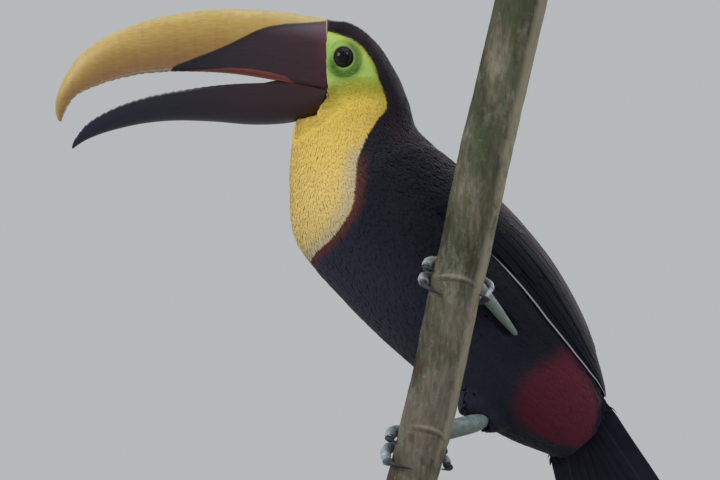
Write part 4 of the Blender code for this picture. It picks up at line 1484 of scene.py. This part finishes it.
def barkFinish():
    f = Finish("bark", SpecularIorLevel=0.2)
    spot = f.at()
    height = f.part(spot, "Z")
    wide = f.grain(f.at((1, 1, 0.45)), 32, 4, 0.55)
    fibres = f.grain(f.at((1, 1, 0.22)), 380, 5, 0.65)
    fine = f.grain(spot, 1500, 4, 0.7)
    flecks = f.grain(f.at((1, 1, 0.7), start=(2, 2, 5)), 190, 5, 0.75)
    lichen = f.grain(f.at((1, 1, 0.6), start=(3, 1, 2)), 46, 6, 0.72)
    moss = f.grain(f.at((1, 1, 0.5), start=(7, 5, 1)), 34, 6, 0.66)
    colour = f.ramp(
        wide * 0.75 + fibres * 0.35,
        [
            (0.34, tone(40, 38, 33)), (0.46, tone(62, 60, 50)),
            (0.56, tone(90, 86, 73)), (0.7, tone(130, 124, 110)),
        ],
    )
    colour = f.blend(f.step(lichen, 0.53, 0.64) * 0.5, colour, tone(126, 128, 116))
    colour = f.blend(f.step(moss, 0.47, 0.58) * f.step(height, 0.19, 0.27) * 0.7, colour, tone(70, 79, 54))
    colour = f.blend(f.step(wide, 0.5, 0.66) * (1 - f.step(height, 0.12, 0.24)) * 0.5, colour, tone(92, 80, 76))
    colour = f.blend(f.step(flecks, 0.58, 0.66) * 0.5, colour, tone(48, 42, 38))
    colour = f.blend((1 - f.step(flecks, 0.34, 0.42)) * 0.4, colour, tone(136, 134, 124))
    colour = f.blend(f.step(fine, 0.6, 0.7) * 0.4, colour, tone(56, 47, 40))
    scar = f.grain(f.at((1, 1, 0.8), start=(1, 6, 3)), 70, 4, 0.6)
    colour = f.blend(f.step(scar, 0.6, 0.68) * 0.55, colour, tone(84, 60, 52))
    # a pale strip down one side of the stem: a painted highlight
    flank = f.step(f.mark("flank"), 0.86, 0.99)
    colour = f.blend(flank * f.step(lichen, 0.3, 0.5) * 0.6, colour, tone(164, 156, 136))
    knot = f.mark("knot")
    # the knot's ridge painted pale and the crease below it dark: a painted highlight and painted shade
    colour = f.blend(f.step(knot, 0.2, 0.9) * 0.6, colour, tone(150, 140, 128))
    colour = f.blend((1 - f.step(knot, -0.6, -0.2)) * 0.45, colour, tone(48, 41, 36))
    cut = f.mark("cut")
    rings = f.sums("SINE", f.mark("ringOut") * 5.2 + fibres * 3)
    wood = f.blend(f.step(rings, -0.4, 0.9), tone(196, 166, 118), tone(150, 112, 70))
    wood = f.blend(f.step(f.mark("ringOut"), 14.2, 15.2), wood, tone(86, 64, 44))
    colour = f.blend(f.step(cut, 0.4, 0.6), colour, wood)
    f.paint(BaseColor=colour, Roughness=0.82 + fine * 0.15)
    return f.raised(fibres * 0.7 + lichen * 0.5 + fine * 0.4 - flecks * 0.4, 0.0008, 0.9)


def makePerch():
    bottom, top = perchRows[0][2], perchRows[-1][2]
    levels = steps(bottom, top, int((top - bottom) / perchPlan["every"]))
    rings, knots, cuts, outs, paintedRimLights = [], [], [], [], []
    phase = dice.uniform(0, 2 * pi, 24)
    first, last = perchAxis(0), perchAxis(len(perchRows) - 2)

    def ringAt(level, scale, cut, ahead=None):
        centre, radius = perchAt(level)
        if ahead is None:
            ahead = (perchAt(min(level + 14, top))[0] - perchAt(max(level - 14, bottom))[0]).normalized()
        right = Vector((0, 1, 0)).cross(ahead).normalized()
        other = ahead.cross(right)
        ring, ringKnots = [], []
        for angle in around(perchPlan["sides"]):
            knot = wave = crag = 0.0
            for m in range(8):
                twist = level * (0.008 + 0.004 * m) * (-1) ** m
                wave += sin(angle * (3 + 2 * m) + phase[m] + twist) / (1.6 + m)
            for m in range(5):
                wander = 2.2 * sin(level * (0.05 + 0.02 * m) + phase[16 + m])
                crag += sin(angle * (9 + 5 * m) + phase[8 + m] + wander)
            bump = perchPlan["relief"] * (0.45 * wave + 0.2 * crag)
            tilt = level + 4.5 * sin(angle) * abs(sin(angle)) + 1.2 * sin(angle + 0.6)
            tilt += 0.5 * sin(3 * angle + 1.1)
            for place in perchPlan["knots"]:
                share = 0.55 + 0.45 * sin(2 * angle + place)
                ridge = share * bell((tilt - place) / 1.6)
                crease = share * bell(tilt - place + 2.4)
                bump += 0.7 * ridge - 0.35 * crease
                knot += ridge - crease
            size = min(radius + bump, radius + perchPlan["over"]) * scale
            ring.append(centre + (right * cos(angle) + other * sin(angle)) * size)
            ringKnots.append(knot)
        rings.append(ring)
        knots.append(ringKnots)
        cuts.append([float(cut)] * len(ring))
        outs.append([radius * scale] * len(ring))
        paintedRimLights.append([cos(angle - perchPlan["paintedRimLightAt"]) for angle in around(len(ring))])

    for share in perchPlan["ends"]:
        ringAt(bottom, share, True, first)
    for level in levels:
        ringAt(level, 1, False, first if level == bottom else last if level == top else None)
    for share in perchPlan["ends"][::-1]:
        ringAt(top, share, True, last)
    bm = loft(rings, {"knot": knots, "cut": cuts, "ringOut": outs, "flank": paintedRimLights})
    keep(toObject("cut_stem", bm, barkFinish()), "bark", "perch")


print("perch")
makePerch()


# Legs: scaly shanks, eight padded toes and their claws.
shankShapes = {
    # share of the way from the ball of the foot to the heel, and radius
    "left": [
        (-0.07, 3.0), (0, 4.6), (0.15, 4.6), (0.3, 4.4), (0.55, 3.8), (0.72, 3.1), (0.9, 2.3), (1.0, 1.6),
        (1.04, 1.1),
    ],
    "right": [
        (-0.07, 3.4), (0, 5.2), (0.15, 5.8), (0.35, 6.4), (0.55, 6.6), (0.8, 6.4), (0.93, 5.4), (1.0, 4.2),
        (1.04, 2.8),
    ],
}
toes = {
    # start and end angle round the perch, rise at the start, the knuckle and the end, how far the
    # knuckle stands off the bark, radius, sweep and fall of the claw
    "left": {
        "toe_3": (89, 184, 9.0, 11.0, 6.5, 1.4, 4.1, 24, 1.0),
        "toe_2": (89, 193, 0.5, 1.0, -3.0, 1.4, 4.0, 50, 5.5),
        "toe_4": (40, -6, 7.5, 4.0, -5.0, 3.6, 2.2, 28, -2.0),
        "toe_1": (60, 34, -3.4, -3.6, -6.6, 0.6, 2.6, 12, 1.0),
    },
    "right": {
        "toe_2": (114, 182, 4.0, 2.0, -2.0, 1.6, 4.1, 22, 1.0),
        "toe_3": (115, 206, -5.0, -9.0, -16.0, 0.8, 3.9, 60, 0.0),
        "toe_1": (73, 46, 3.4, 2.0, -0.6, 0.6, 2.8, 14, 3.0),
        "toe_4": (71, 12, -4.4, -6.5, -9.0, 2.6, 3.2, 34, 3.0),
    },
}
clawRadius = 2.2
scuteEvery, padEvery = 2.3, 5.6  # along a limb, on its crown and on its sole


def scalyFinish():
    f = Finish("scalyLeg", Roughness=0.5, SpecularIorLevel=0.45, CoatWeight=0.08, CoatRoughness=0.3)
    walk, crown = f.mark("walk"), f.mark("crown")
    cloud = f.grain(f.at(), 240, 4)
    fine = f.cells(f.at(), 1400, "DISTANCE_TO_EDGE")
    phase = f.sums("FRACT", walk / scuteEvery)
    seam = (1 - f.step(phase, 0.0, 0.2)) * f.step(crown, -0.2, 0.25)
    colour = f.ramp(cloud, [(0.3, tone(112, 128, 142)), (0.5, tone(150, 164, 174)), (0.7, tone(196, 206, 212))])
    colour = f.blend((1 - f.step(crown, -0.5, 0.1)) * 0.5, colour, tone(126, 134, 112))
    colour = f.blend(f.mark("shin") * 0.55, colour, tone(108, 128, 110))
    colour = f.blend(seam * 0.7, colour, tone(52, 60, 62))
    colour = f.blend((1 - f.step(fine, 0.0, 0.12)) * (1 - f.step(crown, 0, 0.4)) * 0.5, colour, tone(70, 78, 74))
    f.paint(BaseColor=colour, Roughness=0.42 + cloud * 0.2)
    return f.raised(f.step(fine, 0, 0.25) * (1 - f.step(crown, 0, 0.4)) - seam * 0.8 + cloud * 0.3, 0.0002, 0.8)


def clawFinish():
    f = Finish("clawHorn", SpecularIorLevel=0.35, CoatWeight=0.05, CoatRoughness=0.3)
    walk = f.mark("walk")
    grain = f.grain(f.at((1, 1, 0.3)), 900, 4)
    colour = f.ramp(
        walk + (grain - 0.5) * 0.3,
        [(0.0, tone(82, 84, 88)), (0.3, tone(50, 50, 54)), (1.0, tone(26, 25, 29))],
    )
    f.paint(BaseColor=colour, Roughness=0.42 + grain * 0.2)
    return f.raised(grain, 0.00012, 0.5)


def finePath(rows, count):
    # a smooth curve through (point, radius) rows, as evenly numbered rows
    flat = [(*point, radius) for point, radius in rows]
    return [(Vector(row[:3]), row[3]) for row in (between(flat, t) for t in steps(0, len(rows) - 1, count))]


def makeLimb(name, path, tops, finish, node, pads, shin):
    # a limb whose crown carries overlapping scutes and whose sole carries pads
    points = [p for p, r in path]
    last = len(points) - 1
    walked = [0.0]
    for one, two in zip(points, points[1:]):
        walked.append(walked[-1] + (two - one).length)
    rings, crowns, walks, shins = [], [], [], []
    sides = 20
    for k, (point, radius) in enumerate(path):
        ahead = (points[min(k + 1, last)] - points[max(k - 1, 0)]).normalized()
        top = (tops[k] - ahead * tops[k].dot(ahead)).normalized()
        other = ahead.cross(top)
        phase = walked[k] / scuteEvery % 1
        ring, crown = [], []
        for angle in around(sides):
            up = cos(angle)
            scute = 0.075 * (phase**0.7) * float(smooth(up, -0.3, 0.3))
            pad = pads * 0.07 * sin(walked[k] / padEvery * 2 * pi) * (0.6 + float(smooth(-up, 0.1, 0.7)))
            share = 0.94 + scute + pad
            flat = 0.97 if up < 0 else 1.0
            ring.append(point + (top * up * flat + other * sin(angle)) * radius * share)
            crown.append(up)
        rings.append(ring)
        crowns.append(crown)
        walks.append([walked[k]] * sides)
        shins.append([shin] * sides)
    bm = loft(rings, {"crown": crowns, "walk": walks, "shin": shins})
    keep(toObject(name, bm, finish), "blue_grey_leg", node)


def rounded(path, start=0.5, end=0.5):
    # closes a path's ends to small round tips, inside the length that it had
    def tip(here, beside, blunt):
        inward = (beside[0] - here[0]).normalized() * here[1] * blunt
        return [(here[0] + inward * (1 - cos(a)), here[1] * max(0.08, sin(a))) for a in (0.05, 0.45, 0.9)]

    return tip(path[0], path[1], start) + path[1:-1] + tip(path[-1], path[-2], end)[::-1]


def makeLegs():
    scaly, horn = scalyFinish(), clawFinish()
    for side, leg in legs.items():
        heel = Vector(leg["heel"])
        ball = roundPerch(leg["height"] + leg["ballRise"], leg["ball"], 5.3)
        shank = rounded(finePath([(ball.lerp(heel, t), radius) for t, radius in shankShapes[side]], 90))
        front = (heel - ball).cross(Vector((0, 0, 1))).cross(heel - ball).normalized()
        makeLimb(side + "_scaly_shank", shank, [front] * len(shank), scaly, side + "_shank", 0, 1.0)
        for toe, (start, end, rise, knuckle, fall, standOff, radius, sweep, drop) in toes[side].items():
            rows = []
            for t in steps(0, 1, 8):
                level = (1 - t) ** 2 * rise + 2 * t * (1 - t) * (2 * knuckle - (rise + fall) / 2) + t**2 * fall
                off = radius + 0.6 + standOff * sin(pi * t) ** 2
                point = roundPerch(leg["height"] + level, start + (end - start) * t, off)
                rows.append((point, radius * (1.06 - 0.26 * t)))
            tip = rows[-1][0]
            ahead = (tip - rows[-2][0]).normalized()
            path = rounded(finePath(rows, 66))
            tops = [(p - perchAt(p.z)[0]).normalized() for p, r in path]
            makeLimb(f"{side}_scaly_{toe}", path, tops, scaly, f"{side}_{toe}", 1.0, 0.0)
            claw = [(tip + ahead * 0.3, clawRadius), (tip + ahead * 1.3, clawRadius)]
            sweep = sweep if end > start else -sweep
            for t in steps(0.25, 1, 5):
                lift = radius + 1.5 + 2.0 * sin(pi * t) - (radius + 0.4) * t**2
                thick = clawRadius * (1 - t) ** 0.8 + 0.2
                claw.append((roundPerch(leg["height"] + fall - drop * t, end + sweep * t, lift), thick))
            claw = rounded(finePath(claw, 34), 0.6, 0.6)
            walks = [[k / (len(claw) - 1)] * 16 for k in range(len(claw))]
            bm = tube(claw, 16, lambda angle: 0.96 - 0.1 * abs(sin(angle)), {"walk": walks})
            keep(toObject(f"{side}_{toe}_horn", bm, horn), "claw_horn", f"{side}_{toe}_claw")


print("legs")
makeLegs()


# Stand: a turned wooden base and a steel rod between two collars.
standPlan = {
    # outlines from the foot to the top: distance from the axis, and height
    "base": [
        (0, 0), (100.5, 0), (103, 0.8), (105, 3), (105, 8.5), (104.2, 10), (101.6, 11), (101.2, 12.2),
        (102.4, 13.4), (102.2, 15.6), (99.4, 18.2), (94, 19.6), (88, 20), (0, 20),
    ],
    "rod": [
        (0, 20.05), (11, 20.05), (12, 20.7), (12, 22.2), (11, 23), (7.2, 23.6), (6.2, 25.5), (6, 28),
        (4.5, 29), (4.5, 57), (5.4, 58), (5.4, 60.5), (4.5, 61.2), (4.5, 64.2), (0, 64.2),
    ],
    "edge": 0.3,  # bevel
}


def woodFinish():
    f = Finish("standWood", SpecularIorLevel=0.45, CoatWeight=0.25, CoatRoughness=0.25)
    spot = f.at((1, 0.12, 1))
    bend = f.grain(f.at((1, 0.25, 1)), 14, 3)
    rings = f.sums("SINE", f.part(f.at(), "X") * 320 + bend * 26)
    pore = f.grain(spot, 1400, 4, 0.6)
    colour = f.blend(f.step(rings, -0.9, 0.9), tone(92, 58, 36), tone(58, 34, 22))
    colour = f.blend(f.step(pore, 0.5, 0.68) * 0.5, colour, tone(34, 20, 14))
    f.paint(BaseColor=colour, Roughness=0.32 + pore * 0.2)
    return f.raised(pore * 0.6 + rings * 0.1, 0.00015, 0.6)


def steelFinish():
    f = Finish("brushedSteel", Metallic=1.0, SpecularIorLevel=0.5)
    brushed = f.grain(f.at((1, 1, 9)), 500, 4, 0.7)
    f.paint(BaseColor=f.blend(brushed, tone(150, 150, 152), tone(196, 196, 198)), Roughness=0.2 + brushed * 0.22)
    return f.raised(brushed, 0.00008, 0.4)


def turned(name, outline, middle, finish, slotName, node):
    bm = bmesh.new()
    verts = [bm.verts.new(Vector((r, 0, z)) * mm) for r, z in outline]
    edges = [bm.edges.new(pair) for pair in zip(verts, verts[1:])]
    bmesh.ops.spin(bm, geom=verts + edges, axis=(0, 0, 1), angle=2 * pi, steps=128, use_merge=True)
    bmesh.ops.remove_doubles(bm, verts=bm.verts, dist=1e-6)
    bmesh.ops.recalc_face_normals(bm, faces=bm.faces)
    bmesh.ops.translate(bm, verts=bm.verts, vec=Vector((*middle, 0)) * mm)
    piece = keep(toObject(name, bm, finish), slotName, node)
    bevel = piece.modifiers.new("edge", "BEVEL")
    bevel.width, bevel.segments, bevel.limit_method = standPlan["edge"] * mm, 2, "ANGLE"


print("stand")
turned("stand_turned_base", standPlan["base"], (0, 0), woodFinish(), "stand_wood", "stand_base")
turned("stand_steel_rod", standPlan["rod"], perchRows[0][:2], steelFinish(), "stand_steel", "stand_rod")


# Floor, light and camera.
stagePlan = {
    # where each light stands, its size, its power and its colour
    "lamps": {
        "keyLight": ((-1.7, -1.1, 1.15), 1.0, 25, (1, 0.98, 0.95)),
        "frontLight": ((1.1, -1.2, 1.5), 0.8, 8, (1, 0.99, 0.97)),
        "skyLight": ((0.3, -0.2, 2.2), 1.6, 9, (0.95, 0.98, 1)),
        "backLight": ((1.1, 1.3, 1.1), 0.9, 14, (1, 1, 1)),
    },
    "lampAim": (0, 0.03, 0.25),
    "sky": (tone(214, 217, 220), 0.7),
    "camera": (-0.034, -1.5612, 0.0776),
    "cameraAim": (-0.034, 0.030, 0.2448),
    "lens": 117.6,
}


def aimed(name, data, spot, aim):
    piece = bpy.data.objects.new(name, data)
    piece.location = spot
    piece.rotation_euler = (Vector(aim) - Vector(spot)).to_track_quat("-Z", "Y").to_euler()
    scene.collection.objects.link(piece)
    return piece


def makeStage():
    f = Finish("floor", Roughness=0.85, SpecularIorLevel=0.3)
    dust = f.grain(f.at(), 6, 4)
    f.paint(BaseColor=f.blend(dust, tone(186, 186, 184), tone(192, 192, 190)))
    bm = bmesh.new()
    bmesh.ops.create_grid(bm, x_segments=4, y_segments=4, size=4)
    toObject("floor", bm, f)
    scene.world = bpy.data.worlds.new("studio")
    scene.world.use_nodes = True
    sky, strength = stagePlan["sky"]
    background = scene.world.node_tree.nodes["Background"].inputs
    background["Color"].default_value, background["Strength"].default_value = (*sky, 1), strength
    scene.view_settings.view_transform = "Standard"
    for name, (spot, size, power, colour) in stagePlan["lamps"].items():
        data = bpy.data.lights.new(name, "AREA")
        data.energy, data.size, data.color = power, size, colour
        aimed(name, data, spot, stagePlan["lampAim"])
    data = bpy.data.cameras.new("camera")
    data.lens, data.sensor_width, data.clip_start = stagePlan["lens"], 36, 0.05
    scene.camera = aimed("camera", data, stagePlan["camera"], stagePlan["cameraAim"])


print("stage")
makeStage()
